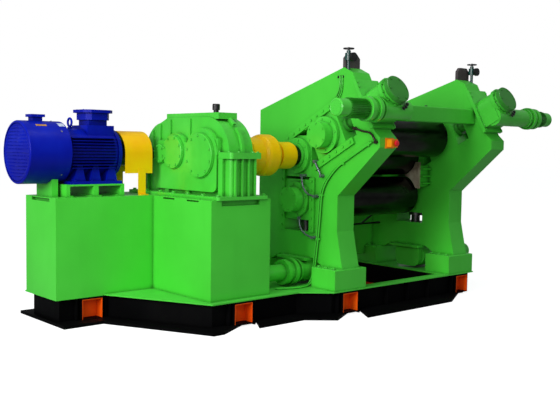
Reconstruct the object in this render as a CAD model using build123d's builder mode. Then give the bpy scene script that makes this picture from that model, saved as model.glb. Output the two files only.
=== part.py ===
from build123d import *
import os
from math import sin, cos, tan, radians

# Three-roll rubber calender with its drive, millimetres, +Z up.
# X runs along the rolls from the motor to the far frame, -Y is the working side.
# The origin is on the floor below the middle roll's axis.

# Rolls
roll_diameter = 420
roll_gap = 18
roll_face = 1300
roll_edge = 4
journal_diameter = 200
neck_diameter = 250
neck_length = 40
roll_axis_height = 1510
screw_tilt = 28
bore_fit = 0.3
slide_fit = 0.4

# Side frames
frame_thickness = 232
near_frame_x = 168
frame_pitch = 1757
column_foot_y = -632
column_front_y = -553
rear_edge_y = 602
rear_foot_y = 655
flare_height = 789
rear_flare_height = 700
nose_start_height = roll_axis_height - 377
nose_front_y = -1070
nose_low_height = roll_axis_height + 90
nose_top_height = roll_axis_height + 180
slope_foot_drop = 259
slope_top_rise = 362
peak_y = -603
peak_height = roll_axis_height + 840
rear_top_height = roll_axis_height + 467
arch_height = 500
arch_front_y = -240
arch_rear_y = 257
front_toe_y = -352
rear_toe_y = 383
slot_end = 790
slot_corner = 30
lower_window_sill = roll_axis_height - 755
block_width = 370
block_half_length = 202
middle_block_bottom = roll_axis_height - 210
retainer_width = 66
retainer_thickness = 22
retainer_end = 740

# Feet of the frames
foot_height = 197
foot_width = 429
foot_shift = -33
front_foot_y = -670
front_foot_length = 318
rear_foot_start = 383
rear_foot_length = 303

# Base
base_height = 228
deck_thickness = 12
base_start_x = -2200
base_end_x = 2225
base_rear_y = 1130
motor_step_y = 513
gear_step_y = -474
press_step_y = -685
motor_kink_x = -1728
gear_kink_x = -1248
press_kink_x = -242
press_corner_x = 17
flange_width = 130
front_flange_width = 205
flange_thickness = 27
flange_end_inset = 12
gap_start = 25
gap_end = 195
gap_slant_left = 1.8
gap_slant_right = 0.65
web_inset = 58
pit_start_x = 500
pit_end_x = 1760
pit_beam_width = 125
pit_rear_y = 940
pocket_width = 200
pocket_height = 180
pocket_depth = 110
pocket_floor = 30
pocket_sheet = 6
stiffener_reach = 40
raked_end = 100
raked_height = 140
stiffener_thickness = 14

# Plinths
plinth_split_x = -1213
gear_plinth_end_x = -542
gear_plinth_front_y = -395
motor_plinth_rear_y = 1104
vent_height = 14
vent_drop = 8
vent_depth = 30

# Motor
motor_axis_y = 830
motor_axis_height = roll_axis_height + 2
shaft_height = 391
cowl_start_x = -2410
cowl_end_x = -2020
cowl_radius = 278
motor_body_radius = 218
motor_end_x = -1530
shield_end_x = -1490
fin_height = 22
fin_thickness = 7
fin_pitch = 27
fin_count = 11
stand_height = 112
stand_plate = 16
motor_foot_thickness = 26
shaft_radius = 40
terminal_box_height = 93
terminal_box_rise = 393

# Coupling guard
guard_start_x = -1450
guard_end_x = -1155
guard_radius = 208
guard_sheet = 5
guard_skirt = 187
guard_leg_width = 80

# Gearbox
gear_start_x = -1000
gear_end_x = -700
case_front_y = -387
case_rear_y = 1020
case_foot_lip = 30
case_foot_side = 140
case_foot_thickness = 30
split_thickness = 28
split_lip = 38
split_side = 28
case_rib = 16
upper_start_x = -985
upper_end_x = -715
output_case_radius = 345
input_case_radius = 300
input_case_y = 700
cover_start_y = -170
cover_end_y = 650
cover_rise = 38
cap_thickness = 18
pad_x = -1044
boss_end_x = -1058

# Gap drives
screw_radius = 50
screw_clearance = 8
slope_distance = 1000
drive_plate = 34
drive_radius = 138
drive_ring_radius = 152
drive_end = 1332
worm_station = 1164
worm_drop = 132
worm_radius = 92
gap_motor_radius = 78
gap_flange_radius = 118
near_worm_end = 495
near_ring_x = 130
near_motor_end = -430
far_worm_end = 1910
far_ring_x = 2480
far_motor_end = 2950
lower_worm_y = -125
lower_worm_height = 376
lower_flange_radius = 130

roll_radius = roll_diameter / 2
journal_radius = journal_diameter / 2
roll_distance = roll_diameter + roll_gap
terminal_box_top = motor_axis_height + terminal_box_rise
screw_cos = cos(radians(screw_tilt))
screw_sin = sin(radians(screw_tilt))
near_mid_x = near_frame_x + frame_thickness / 2
far_mid_x = near_mid_x + frame_pitch
far_frame_x = near_frame_x + frame_pitch
press_mid_x = (near_mid_x + far_mid_x) / 2
frame_mids = (near_mid_x, far_mid_x)
deck_top = base_height + deck_thickness
plinth_top = motor_axis_height - shaft_height
plinth_height = plinth_top - deck_top
frame_foot_z = deck_top + foot_height
top_roll_y = -roll_distance * screw_cos
top_roll_z = roll_axis_height + roll_distance * screw_sin
bottom_roll_z = roll_axis_height - roll_distance
slot_width = block_width + 2 * slide_fit
block_reach = roll_distance - block_half_length
ring_radius = 177
ring_proud = 38
cap_radius = 125
cap_proud = 143
case_middle_x = (gear_start_x + gear_end_x) / 2
case_middle_y = (case_front_y + case_rear_y) / 2

os.makedirs("parts", exist_ok=True)


def save(builder, name):
    builder.part.label = name
    export_step(builder.part, "parts/" + name + ".step")


# A point across the machine at a distance along the upper screws and a rise square to them
def inclined(along, rise=0.0):
    y = -along * screw_cos + rise * screw_sin
    z = roll_axis_height + along * screw_sin + rise * screw_cos
    return (y, z)


# A plane square to the upper screws
def screw_plane(x, along, rise=0.0):
    y, z = inclined(along, rise)
    return Plane(origin=(x, y, z), x_dir=(1, 0, 0), z_dir=(0, -screw_cos, screw_sin))


# A turned solid along X from (x, radius) corners
def turned(points, y, z):
    with BuildPart() as piece:
        with BuildSketch(Plane(origin=(0, y, z), x_dir=(1, 0, 0), z_dir=(0, -1, 0))):
            with BuildLine():
                Polyline((points[0][0], 0), *points, (points[-1][0], 0), close=True)
            make_face()
        revolve(axis=Axis((0, y, z), (1, 0, 0)))
    return piece


# Base: a black fabricated bed with a wider bottom flange, stepped out towards the rolls
pocket_places = [
    (-1848, motor_step_y), (-904, gear_step_y), (240, press_step_y), (2018, press_step_y)]
drive_outline = [
    (base_start_x, base_rear_y), (base_start_x, motor_step_y), (motor_kink_x, motor_step_y),
    (gear_kink_x, gear_step_y), (press_kink_x, gear_step_y), (press_corner_x, press_step_y),
    (pit_start_x, press_step_y), (pit_start_x, base_rear_y)]
web_outline = drive_outline[:-2] + [(pit_start_x + web_inset, press_step_y), (pit_start_x + web_inset, base_rear_y)]

# Slanted gap in the bottom flange under a pocket, from the web out past the flange's edge
def flange_gap(place_x, place_y):
    web_y = place_y + web_inset
    reach = flange_width + web_inset + 40
    return [
        (place_x + gap_start, web_y), (place_x + gap_start - reach * gap_slant_left, web_y - reach),
        (place_x + gap_end - reach * gap_slant_right, web_y - reach), (place_x + gap_end, web_y)]


with BuildPart() as drive_bed:
    with BuildSketch():
        with BuildLine():
            Polyline(*drive_outline, close=True)
        make_face()
        offset(amount=flange_width, kind=Kind.INTERSECTION)
        with Locations((base_start_x + flange_end_inset, 0)):
            Rectangle(4 * flange_width, 4 * base_rear_y, align=(Align.MAX, Align.CENTER), mode=Mode.SUBTRACT)
        with Locations((pit_start_x, (base_rear_y + press_step_y) / 2)):
            Rectangle(4 * flange_width, 4 * base_rear_y, align=(Align.MIN, Align.CENTER), mode=Mode.SUBTRACT)
        for place_x, place_y in pocket_places[1:3]:
            with BuildLine():
                Polyline(*flange_gap(place_x, place_y), close=True)
            make_face(mode=Mode.SUBTRACT)
        toe_x = pocket_places[2][0] + gap_end
        toe_y = press_step_y - front_flange_width
        with BuildLine():
            Polyline(
                (pit_start_x, press_step_y + web_inset), (pit_start_x, toe_y),
                (toe_x - (front_flange_width + web_inset) * gap_slant_right, toe_y),
                (toe_x, press_step_y + web_inset), close=True)
        make_face()
    extrude(amount=flange_thickness)
    with BuildSketch():
        with BuildLine():
            Polyline(*web_outline, close=True)
        make_face()
        offset(amount=-web_inset, kind=Kind.INTERSECTION)
    extrude(amount=base_height)
    for place_x, place_y in pocket_places[:3]:
        for side in (-1, 1):
            with Locations((place_x + side * (pocket_width / 2 + 45), place_y + web_inset + 1, 0)):
                Box(stiffener_thickness, stiffener_reach + 1, base_height,
                    align=(Align.CENTER, Align.MAX, Align.MIN))
        with Locations((place_x, place_y, pocket_floor - pocket_sheet)):
            Box(pocket_width + 2 * pocket_sheet, web_inset + 1, base_height - pocket_floor + pocket_sheet,
                align=(Align.CENTER, Align.MIN, Align.MIN))
        with Locations((place_x, place_y, pocket_floor)):
            Box(pocket_width, 2 * pocket_depth, pocket_height, mode=Mode.SUBTRACT,
                align=(Align.CENTER, Align.CENTER, Align.MIN))
save(drive_bed, "base_drive_bed")

beam_length = pit_end_x - pit_start_x
beam_web_y = press_step_y + web_inset
end_gap_x = pocket_places[3][0] + gap_start
end_reach = (end_gap_x - pit_end_x) / gap_slant_left
with BuildPart() as front_beam:
    with BuildSketch():
        with BuildLine():
            Polyline(
                (pit_start_x, beam_web_y + 1), (pit_start_x, toe_y),
                (end_gap_x - (front_flange_width + web_inset) * gap_slant_left, toe_y),
                (pit_end_x, beam_web_y - end_reach), (pit_end_x, beam_web_y + 1), close=True)
        make_face()
    extrude(amount=flange_thickness)
    with Locations(((pit_start_x + pit_end_x) / 2, beam_web_y, 0)):
        Box(beam_length, pit_beam_width - web_inset, base_height, align=(Align.CENTER, Align.MIN, Align.MIN))
        for step in (-1, 0, 1):
            with Locations((step * 330, 1, 0)):
                Box(stiffener_thickness, stiffener_reach + 1, base_height,
                    align=(Align.CENTER, Align.MAX, Align.MIN))
save(front_beam, "base_front_beam")

with BuildPart() as rear_bed_beam:
    with Locations(((pit_start_x + pit_end_x) / 2, pit_rear_y, 0)):
        Box(beam_length, base_rear_y - web_inset - pit_rear_y, base_height,
            align=(Align.CENTER, Align.MIN, Align.MIN))
        Box(beam_length, base_rear_y + flange_width - pit_rear_y, flange_thickness,
            align=(Align.CENTER, Align.MIN, Align.MIN))
save(rear_bed_beam, "base_rear_beam")

with BuildPart() as end_beam:
    with BuildSketch():
        with Locations((pit_end_x, beam_web_y)):
            Rectangle(base_end_x - web_inset / 2 - pit_end_x, base_rear_y - web_inset - beam_web_y,
                      align=(Align.MIN, Align.MIN))
    extrude(amount=base_height)
    place_x, place_y = pocket_places[3]
    with BuildSketch():
        with BuildLine():
            Polyline(
                (pit_end_x, beam_web_y + 1), (pit_end_x, beam_web_y - end_reach), (end_gap_x, beam_web_y),
                (end_gap_x, beam_web_y + 1), close=True)
        make_face()
        with Locations((pit_end_x, base_rear_y - web_inset - 1)):
            Rectangle(base_end_x - raked_end - pit_end_x, flange_width + web_inset + 1,
                      align=(Align.MIN, Align.MIN))
    extrude(amount=flange_thickness)
    with Locations((place_x - pocket_width / 2 - 45, beam_web_y + 1, 0)):
        Box(stiffener_thickness, stiffener_reach + 1, base_height, align=(Align.CENTER, Align.MAX, Align.MIN))
    with Locations((place_x, place_y, pocket_floor - pocket_sheet)):
        Box(pocket_width + 2 * pocket_sheet, web_inset + 1, base_height - pocket_floor + pocket_sheet,
            align=(Align.CENTER, Align.MIN, Align.MIN))
    with Locations((place_x, place_y, pocket_floor)):
        Box(pocket_width, 2 * pocket_depth, pocket_height, mode=Mode.SUBTRACT,
            align=(Align.CENTER, Align.CENTER, Align.MIN))
    with BuildSketch(Plane.XZ.offset(-base_rear_y - 1)):
        with BuildLine():
            Polyline(
                (base_end_x - raked_end, 0), (base_end_x, raked_height), (base_end_x, 0), close=True)
        make_face()
    extrude(amount=base_rear_y - press_step_y + 2, mode=Mode.SUBTRACT)
save(end_beam, "base_end_beam")

# Sheet liners of the lifting pockets: a back, two cheeks and a floor, open in front
with BuildPart() as pocket_liners:
    for place_x, place_y in pocket_places:
        with Locations((place_x, place_y, pocket_floor)):
            Box(pocket_width, pocket_depth, pocket_height, align=(Align.CENTER, Align.MIN, Align.MIN))
            Box(pocket_width - 2 * pocket_sheet, pocket_depth - pocket_sheet, pocket_height - pocket_sheet,
                align=(Align.CENTER, Align.MIN, Align.MIN), mode=Mode.SUBTRACT)
save(pocket_liners, "lifting_pockets")

with BuildPart() as pit_floor:
    with Locations(((pit_start_x + pit_end_x) / 2, (press_step_y + pit_beam_width + pit_rear_y) / 2, 0)):
        Box(beam_length, pit_rear_y - press_step_y - pit_beam_width, 10,
            align=(Align.CENTER, Align.CENTER, Align.MIN))
save(pit_floor, "pit_floor")

# Green deck plates on the bed
with BuildPart() as drive_deck:
    with BuildSketch(Plane.XY.offset(base_height)):
        with BuildLine():
            Polyline(*drive_outline, close=True)
        make_face()
    extrude(amount=deck_thickness)
save(drive_deck, "drive_deck")

with BuildPart() as pit_deck:
    with BuildSketch(Plane.XY.offset(base_height)):
        with Locations((pit_start_x, press_step_y)):
            Rectangle(base_end_x - pit_start_x, base_rear_y - press_step_y, align=(Align.MIN, Align.MIN))
        with Locations((pit_start_x, press_step_y + pit_beam_width)):
            Rectangle(beam_length, pit_rear_y - press_step_y - pit_beam_width,
                      align=(Align.MIN, Align.MIN), mode=Mode.SUBTRACT)
    extrude(amount=deck_thickness)
save(pit_deck, "pit_deck")

# Plinths of the motor and the gearbox, with the vents under their top edges
with BuildPart() as motor_plinth:
    with BuildSketch(Plane.XY.offset(deck_top)):
        with Locations((base_start_x, motor_step_y)):
            Rectangle(plinth_split_x - base_start_x, motor_plinth_rear_y - motor_step_y,
                      align=(Align.MIN, Align.MIN))
    extrude(amount=plinth_height)
    with Locations((base_start_x, (motor_step_y + motor_plinth_rear_y) / 2, plinth_top - vent_drop)):
        Box(2 * vent_depth, 350, 2 * vent_height, align=(Align.CENTER, Align.CENTER, Align.MAX),
            mode=Mode.SUBTRACT)
save(motor_plinth, "motor_plinth")

with BuildPart() as gear_plinth:
    with BuildSketch(Plane.XY.offset(deck_top)):
        with Locations((plinth_split_x, gear_plinth_front_y)):
            Rectangle(gear_plinth_end_x - plinth_split_x, base_rear_y - gear_plinth_front_y,
                      align=(Align.MIN, Align.MIN))
    extrude(amount=plinth_height)
    with Locations(((plinth_split_x + gear_plinth_end_x) / 2 - 10, gear_plinth_front_y, plinth_top - vent_drop)):
        Box(430, 2 * vent_depth, 3 * vent_height, align=(Align.CENTER, Align.CENTER, Align.MAX),
            mode=Mode.SUBTRACT)
    for vent_y in (256, -118):
        with Locations((plinth_split_x, vent_y, plinth_top - vent_drop)):
            Box(2 * vent_depth, 180, vent_height, align=(Align.CENTER, Align.CENTER, Align.MAX),
                mode=Mode.SUBTRACT)
save(gear_plinth, "gearbox_plinth")

# Motor stand: a low welded bench
stand_start_x = cowl_end_x - 45
stand_end_x = motor_end_x + 45
stand_middle_x = (stand_start_x + stand_end_x) / 2
stand_width = 500
with BuildPart() as motor_stand:
    with Locations((stand_middle_x, motor_axis_y, plinth_top)):
        Box(stand_end_x - stand_start_x, stand_width, stand_height,
            align=(Align.CENTER, Align.CENTER, Align.MIN))
        for bay in (-1, 1):
            with Locations((bay * 140, 0, 12)):
                Box(230, stand_width, stand_height - stand_plate - 12,
                    align=(Align.CENTER, Align.CENTER, Align.MIN), mode=Mode.SUBTRACT)
            with Locations((bay * 140, 0, 0)):
                Box(170, stand_width, 13, align=(Align.CENTER, Align.CENTER, Align.MIN), mode=Mode.SUBTRACT)
save(motor_stand, "motor_stand")

with BuildPart() as cowl_bracket:
    with BuildSketch(Plane.YZ.offset(cowl_start_x + 255)):
        with Locations((motor_axis_y, plinth_top)):
            Rectangle(300, shaft_height - cowl_radius + 50, align=(Align.CENTER, Align.MIN))
        with Locations((motor_axis_y, motor_axis_height)):
            Circle(cowl_radius + bore_fit, mode=Mode.SUBTRACT)
    extrude(amount=60)
save(cowl_bracket, "cowl_bracket")

# Motor: finned frame with feet, end shield and shaft
foot_seat_z = plinth_top + stand_height
with BuildPart() as motor_frame:
    with BuildSketch(Plane.YZ.offset(cowl_end_x)):
        with Locations((motor_axis_y, motor_axis_height)):
            Circle(motor_body_radius)
    extrude(amount=motor_end_x - cowl_end_x)
    with BuildSketch(Plane.YZ.offset(motor_end_x)):
        with Locations((motor_axis_y, motor_axis_height)):
            Circle(motor_body_radius + 16)
    extrude(amount=shield_end_x - motor_end_x, taper=14)
    for row in range(fin_count):
        level = (row - (fin_count - 1) / 2) * fin_pitch
        reach = motor_body_radius + fin_height - 0.0009 * level * level
        with Locations(((cowl_end_x + motor_end_x) / 2, motor_axis_y, motor_axis_height + level)):
            Box(motor_end_x - cowl_end_x - 50, 2 * reach, fin_thickness)
    for side in (-1, 1):
        with Locations(((cowl_end_x + motor_end_x) / 2 + 12, motor_axis_y + side * 177, foot_seat_z)):
            Box(motor_end_x - cowl_end_x + 24, 136, motor_foot_thickness,
                align=(Align.CENTER, Align.CENTER, Align.MIN))
        for gusset_x in (cowl_end_x + 110, (cowl_end_x + motor_end_x) / 2 + 20, motor_end_x - 60):
            with BuildSketch(Plane(origin=(gusset_x, motor_axis_y, foot_seat_z), x_dir=(1, 0, 0), z_dir=(0, -1, 0))):
                with BuildLine():
                    Polyline((-62, 0), (62, 0), (24, 170), (-24, 170), close=True)
                make_face()
            extrude(amount=-205 * side)
    with BuildSketch(Plane.YZ.offset(cowl_end_x)):
        with Locations((motor_axis_y, foot_seat_z)):
            Rectangle(600, 3, align=(Align.CENTER, Align.MAX))
    extrude(amount=motor_end_x - cowl_end_x, mode=Mode.SUBTRACT)
    with BuildSketch(Plane.YZ.offset(shield_end_x)):
        with Locations((motor_axis_y, motor_axis_height)):
            Circle(shaft_radius)
    extrude(amount=120)
save(motor_frame, "motor_frame")

with BuildPart() as motor_cowl:
    with BuildSketch(Plane.YZ.offset(cowl_start_x)):
        with Locations((motor_axis_y, motor_axis_height)):
            Circle(cowl_radius)
    extrude(amount=cowl_end_x - cowl_start_x - 1)
    fillet(motor_cowl.edges().group_by(Axis.X)[0], 12)
    with BuildSketch(Plane.YZ.offset(cowl_start_x)):
        with Locations((motor_axis_y, motor_axis_height)):
            Circle(cowl_radius - 22)
    extrude(amount=14, mode=Mode.SUBTRACT)
save(motor_cowl, "motor_fan_cowl")

box_middle_x = -1672
saddle_length = 270
with BuildPart() as terminal_box:
    with BuildSketch(Plane.XY.offset(motor_axis_height + 120)):
        with Locations((box_middle_x, motor_axis_y)):
            Rectangle(saddle_length, 300)
    extrude(amount=130)
    with BuildSketch(Plane.XY.offset(motor_axis_height + 250)):
        with Locations((box_middle_x, motor_axis_y)):
            Rectangle(185, 190)
    extrude(amount=terminal_box_top - terminal_box_height - motor_axis_height - 250)
    with BuildSketch(Plane.XY.offset(terminal_box_top - terminal_box_height)):
        with Locations((box_middle_x, motor_axis_y)):
            Rectangle(240, 250)
    extrude(amount=terminal_box_height - 28)
    chamfer(terminal_box.edges().filter_by(Axis.Z).group_by(Axis.Z)[-1], 40)
    with BuildSketch(Plane.XY.offset(terminal_box_top - 28)):
        with Locations((box_middle_x, motor_axis_y)):
            Rectangle(300, 300)
    extrude(amount=28)
    chamfer(terminal_box.edges().filter_by(Axis.Z).group_by(Axis.Z)[-1], 55)
    with BuildSketch(Plane.YZ.offset(cowl_end_x)):
        with Locations((motor_axis_y, motor_axis_height)):
            Circle(motor_body_radius + bore_fit)
    extrude(amount=motor_end_x - cowl_end_x, mode=Mode.SUBTRACT)
save(terminal_box, "motor_terminal_box")

with BuildPart() as cowl_box:
    with BuildSketch(Plane.XY.offset(motor_axis_height + 240)):
        with Locations((-2235, motor_axis_y)):
            Rectangle(90, 90)
    extrude(amount=70)
    with BuildSketch(Plane.XY.offset(motor_axis_height + 310)):
        with Locations((-2235, motor_axis_y)):
            Rectangle(125, 125)
    extrude(amount=24)
    with BuildSketch(Plane.YZ.offset(cowl_start_x)):
        with Locations((motor_axis_y, motor_axis_height)):
            Circle(cowl_radius + bore_fit)
    extrude(amount=cowl_end_x - cowl_start_x, mode=Mode.SUBTRACT)
save(cowl_box, "cowl_terminal_box")

# Coupling guard: an arched sheet on strap legs, open below
leg_x = guard_start_x + 180
leg_height = motor_axis_height - guard_skirt - plinth_top
with BuildPart() as coupling_guard:
    with BuildSketch(Plane.YZ.offset(guard_start_x)):
        with Locations((motor_axis_y, motor_axis_height)):
            Circle(guard_radius)
            Rectangle(2 * guard_radius, guard_skirt, align=(Align.CENTER, Align.MAX))
            Circle(guard_radius - guard_sheet, mode=Mode.SUBTRACT)
            Rectangle(2 * (guard_radius - guard_sheet), 2 * guard_radius,
                      align=(Align.CENTER, Align.MAX), mode=Mode.SUBTRACT)
    extrude(amount=guard_end_x - guard_start_x)
    for side in (-1, 1):
        with Locations((leg_x, motor_axis_y + side * (guard_radius - 1), plinth_top)):
            Box(guard_leg_width, 8, leg_height + 40, align=(Align.CENTER, Align.CENTER, Align.MIN))
        with Locations((leg_x, motor_axis_y + side * (guard_radius + 24), plinth_top)):
            Box(guard_leg_width, 56, 8, align=(Align.CENTER, Align.CENTER, Align.MIN))
save(coupling_guard, "coupling_guard")

coupling_start_x = shield_end_x + 60
drive_coupling = turned(
    [(coupling_start_x, 120), (coupling_start_x + 90, 120), (coupling_start_x + 90, 100),
     (coupling_start_x + 100, 100), (coupling_start_x + 100, 120), (coupling_start_x + 190, 120),
     (coupling_start_x + 190, 55), (gear_start_x - split_side - 0.3, 55)],
    motor_axis_y, motor_axis_height)
with BuildPart() as bored_coupling:
    add(drive_coupling.part)
    with BuildSketch(Plane.YZ.offset(shield_end_x)):
        with Locations((motor_axis_y, motor_axis_height)):
            Circle(shaft_radius + bore_fit)
    extrude(amount=125, mode=Mode.SUBTRACT)
save(bored_coupling, "drive_coupling")

# Gearbox: ribbed lower case, arched upper case, cover, breather and bearing caps
split_height = roll_axis_height
cap_places = [(0, split_height - 5, 205), (420, split_height + 20, 160), (640, split_height, 95)]
output_boss_radius = 185
pad_front_y = -235
pad_rear_y = 770
case_length = case_rear_y - case_front_y
case_width = gear_end_x - gear_start_x
rib_foot = plinth_top + case_foot_thickness
rib_height = split_height - split_thickness - rib_foot

with BuildPart() as lower_case:
    with BuildSketch(Plane.XY.offset(plinth_top)):
        with Locations((case_middle_x - 20, case_middle_y)):
            RectangleRounded(case_width + 2 * case_foot_side, case_length + 2 * case_foot_lip, 25)
    extrude(amount=case_foot_thickness)
    with BuildSketch(Plane.XY.offset(rib_foot)):
        with Locations((case_middle_x, case_middle_y)):
            RectangleRounded(case_width, case_length, 30)
    extrude(amount=split_height - rib_foot)
    with BuildSketch(Plane.XY.offset(split_height - split_thickness)):
        with Locations((case_middle_x, case_middle_y)):
            RectangleRounded(case_width + 2 * split_side, case_length + 2 * split_lip, 30)
    extrude(amount=split_thickness)
    for end_y in (case_front_y, case_rear_y):
        for step in range(4):
            with Locations((gear_start_x + 40 + step * (case_width - 80) / 3, end_y, rib_foot)):
                Box(case_rib, 56, rib_height, align=(Align.CENTER, Align.CENTER, Align.MIN))
    for boss_y in (-275, 225, 560, 930):
        with Locations((gear_start_x - 8, boss_y, rib_foot)):
            Box(46, 60, rib_height, align=(Align.CENTER, Align.CENTER, Align.MIN))
    with BuildSketch(Plane.YZ.offset(pad_x)):
        with Locations((pad_front_y, split_height)):
            Rectangle(pad_rear_y - pad_front_y, 330, align=(Align.MIN, Align.MAX))
        fillet(vertices().group_by(Axis.Y)[0], 60)
    extrude(amount=gear_start_x + 10 - pad_x)
    for cap_y, cap_z, cap_r in cap_places:
        with BuildSketch(Plane.YZ.offset(boss_end_x)):
            with Locations((cap_y, cap_z)):
                Circle(cap_r)
            with Locations((cap_y, split_height)):
                Rectangle(3 * cap_r, 3 * cap_r, align=(Align.CENTER, Align.MAX), mode=Mode.INTERSECT)
        extrude(amount=gear_start_x + 10 - boss_end_x)
    with BuildSketch(Plane.YZ.offset(gear_end_x - 10)):
        with Locations((0, split_height)):
            Circle(output_boss_radius)
            Rectangle(400, 400, align=(Align.CENTER, Align.MAX), mode=Mode.INTERSECT)
    extrude(amount=10 + split_side)
save(lower_case, "gearbox_lower_case")

with BuildPart() as upper_case:
    with BuildSketch(Plane.XY.offset(split_height)):
        with Locations((case_middle_x, case_middle_y)):
            RectangleRounded(case_width + 2 * split_side, case_length + 2 * split_lip, 30)
    extrude(amount=split_thickness)
    with BuildSketch(Plane.YZ.offset(upper_start_x)):
        with Locations((0, split_height)):
            Circle(output_case_radius)
        with Locations((input_case_y, split_height)):
            Circle(input_case_radius)
        with BuildLine():
            Polyline(
                (0, split_height), (0, split_height + output_case_radius),
                (input_case_y - 80, split_height + output_case_radius),
                (input_case_y + 60, split_height + input_case_radius - 10), (input_case_y, split_height),
                close=True)
        make_face()
        with Locations((0, split_height)):
            Rectangle(3000, 1000, align=(Align.CENTER, Align.MAX), mode=Mode.SUBTRACT)
    extrude(amount=upper_end_x - upper_start_x)
    with BuildSketch(Plane.YZ.offset(case_middle_x - 15)):
        with Locations((0, split_height)):
            Circle(output_case_radius + 34)
        with Locations((-60, split_height)):
            Rectangle(600, 500, align=(Align.MIN, Align.MIN), mode=Mode.SUBTRACT)
        with Locations((0, split_height)):
            Rectangle(900, 900, align=(Align.CENTER, Align.MAX), mode=Mode.SUBTRACT)
        with Locations((-258, split_height + 262)):
            Circle(24, mode=Mode.SUBTRACT)
    extrude(amount=30)
    for rib_y, rib_top in ((240, 330), (560, 325), (730, 285), (860, 225)):
        with Locations((upper_start_x, rib_y, split_height)):
            Box(36, 24, rib_top, align=(Align.CENTER, Align.CENTER, Align.MIN))
    with Locations((gear_start_x - 4, -205, split_height)):
        Box(54, 66, 150, align=(Align.CENTER, Align.CENTER, Align.MIN))
    with BuildSketch(Plane.YZ.offset(pad_x)):
        for cap_y, cap_z, cap_r in cap_places:
            with Locations((cap_y, split_height)):
                Circle(cap_r + 36)
        with Locations((0, split_height)):
            Rectangle(640, 110, align=(Align.MIN, Align.MIN))
        with Locations((cap_places[1][0], split_height)):
            Rectangle(2000, 1000, align=(Align.CENTER, Align.MAX), mode=Mode.SUBTRACT)
    extrude(amount=upper_start_x + 10 - pad_x)
    for cap_y, cap_z, cap_r in cap_places:
        with BuildSketch(Plane.YZ.offset(boss_end_x)):
            with Locations((cap_y, cap_z)):
                Circle(cap_r)
            with Locations((cap_y, split_height)):
                Rectangle(3 * cap_r, 3 * cap_r, align=(Align.CENTER, Align.MIN), mode=Mode.INTERSECT)
        extrude(amount=upper_start_x + 10 - boss_end_x)
    with BuildSketch(Plane.YZ.offset(upper_end_x - 10)):
        with Locations((0, split_height)):
            Circle(output_boss_radius)
            Rectangle(400, 400, align=(Align.CENTER, Align.MIN), mode=Mode.INTERSECT)
    extrude(amount=gear_end_x + split_side - upper_end_x + 10)
save(upper_case, "gearbox_upper_case")

cover_height = cover_rise
cover_top = split_height + output_case_radius + cover_rise
with BuildPart() as gear_cover:
    with BuildSketch(Plane.XY.offset(split_height + output_case_radius - 20)):
        with Locations((case_middle_x - 20, (cover_start_y + cover_end_y) / 2)):
            Rectangle(210, cover_end_y - cover_start_y)
    extrude(amount=cover_height + 20)
    add(upper_case.part, mode=Mode.SUBTRACT)
save(gear_cover, "gearbox_cover")

with BuildPart() as breather:
    with BuildSketch(Plane.XY.offset(cover_top)):
        with Locations((-950, -100)):
            Circle(24)
    extrude(amount=22)
    with BuildSketch(Plane.XY.offset(cover_top + 22)):
        with Locations((-950, -100)):
            Circle(34)
    extrude(amount=55)
    chamfer(breather.edges().group_by(Axis.Z)[-1], 6)
save(breather, "gearbox_breather")

with BuildPart() as bearing_caps:
    for cap_y, cap_z, cap_r in cap_places:
        with BuildSketch(Plane.YZ.offset(boss_end_x)):
            with Locations((cap_y, cap_z)):
                Circle(cap_r - 6)
        extrude(amount=-cap_thickness)
    chamfer(bearing_caps.edges().group_by(Axis.X)[0], 4)
save(bearing_caps, "gearbox_bearing_caps")


# Side frames: thick plates with a forward nose and a bent window for the bearing blocks
def frame_plate(x):
    with BuildPart() as plate:
        with BuildSketch(Plane.YZ.offset(x)):
            with BuildLine():
                Polyline(
                    (column_foot_y, frame_foot_z), (column_front_y, flare_height),
                    (column_front_y, nose_start_height), (nose_front_y, nose_low_height),
                    (nose_front_y, nose_top_height), inclined(slope_distance, -slope_foot_drop),
                    inclined(slope_distance, slope_top_rise), (peak_y, peak_height), (rear_edge_y, rear_top_height),
                    (rear_edge_y, rear_flare_height), (rear_foot_y, frame_foot_z), (rear_toe_y, frame_foot_z), (arch_rear_y, arch_height),
                    (arch_front_y, arch_height), (front_toe_y, frame_foot_z), close=True)
            make_face()
            with Locations(inclined(slot_end / 2)):
                Rectangle(slot_end, slot_width, rotation=-screw_tilt, mode=Mode.SUBTRACT)
            with Locations((0, lower_window_sill)):
                Rectangle(slot_width, roll_axis_height - lower_window_sill + 200,
                          align=(Align.CENTER, Align.MIN), mode=Mode.SUBTRACT)
        extrude(amount=frame_thickness)
        with BuildSketch(screw_plane(x + frame_thickness / 2, slot_end - 50)):
            Circle(screw_radius + screw_clearance)
        extrude(amount=400, mode=Mode.SUBTRACT)
        with BuildSketch(Plane.XY.offset(arch_height - 50)):
            with Locations((x + frame_thickness / 2, 0)):
                Circle(screw_radius + screw_clearance)
        extrude(amount=lower_window_sill - arch_height + 100, mode=Mode.SUBTRACT)
    return plate


near_frame = frame_plate(near_frame_x)
save(near_frame, "near_frame")
far_frame = frame_plate(far_frame_x)
save(far_frame, "far_frame")

with BuildPart() as frame_feet:
    for mid in frame_mids:
        with Locations((mid + foot_shift, front_foot_y + front_foot_length / 2, deck_top)):
            Box(foot_width, front_foot_length, foot_height, align=(Align.CENTER, Align.CENTER, Align.MIN))
        with Locations((mid + foot_shift, rear_foot_start + rear_foot_length / 2, deck_top)):
            Box(foot_width, rear_foot_length, foot_height, align=(Align.CENTER, Align.CENTER, Align.MIN))
    chamfer(frame_feet.edges().group_by(Axis.Z)[-1], 6)
save(frame_feet, "frame_feet")

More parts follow.
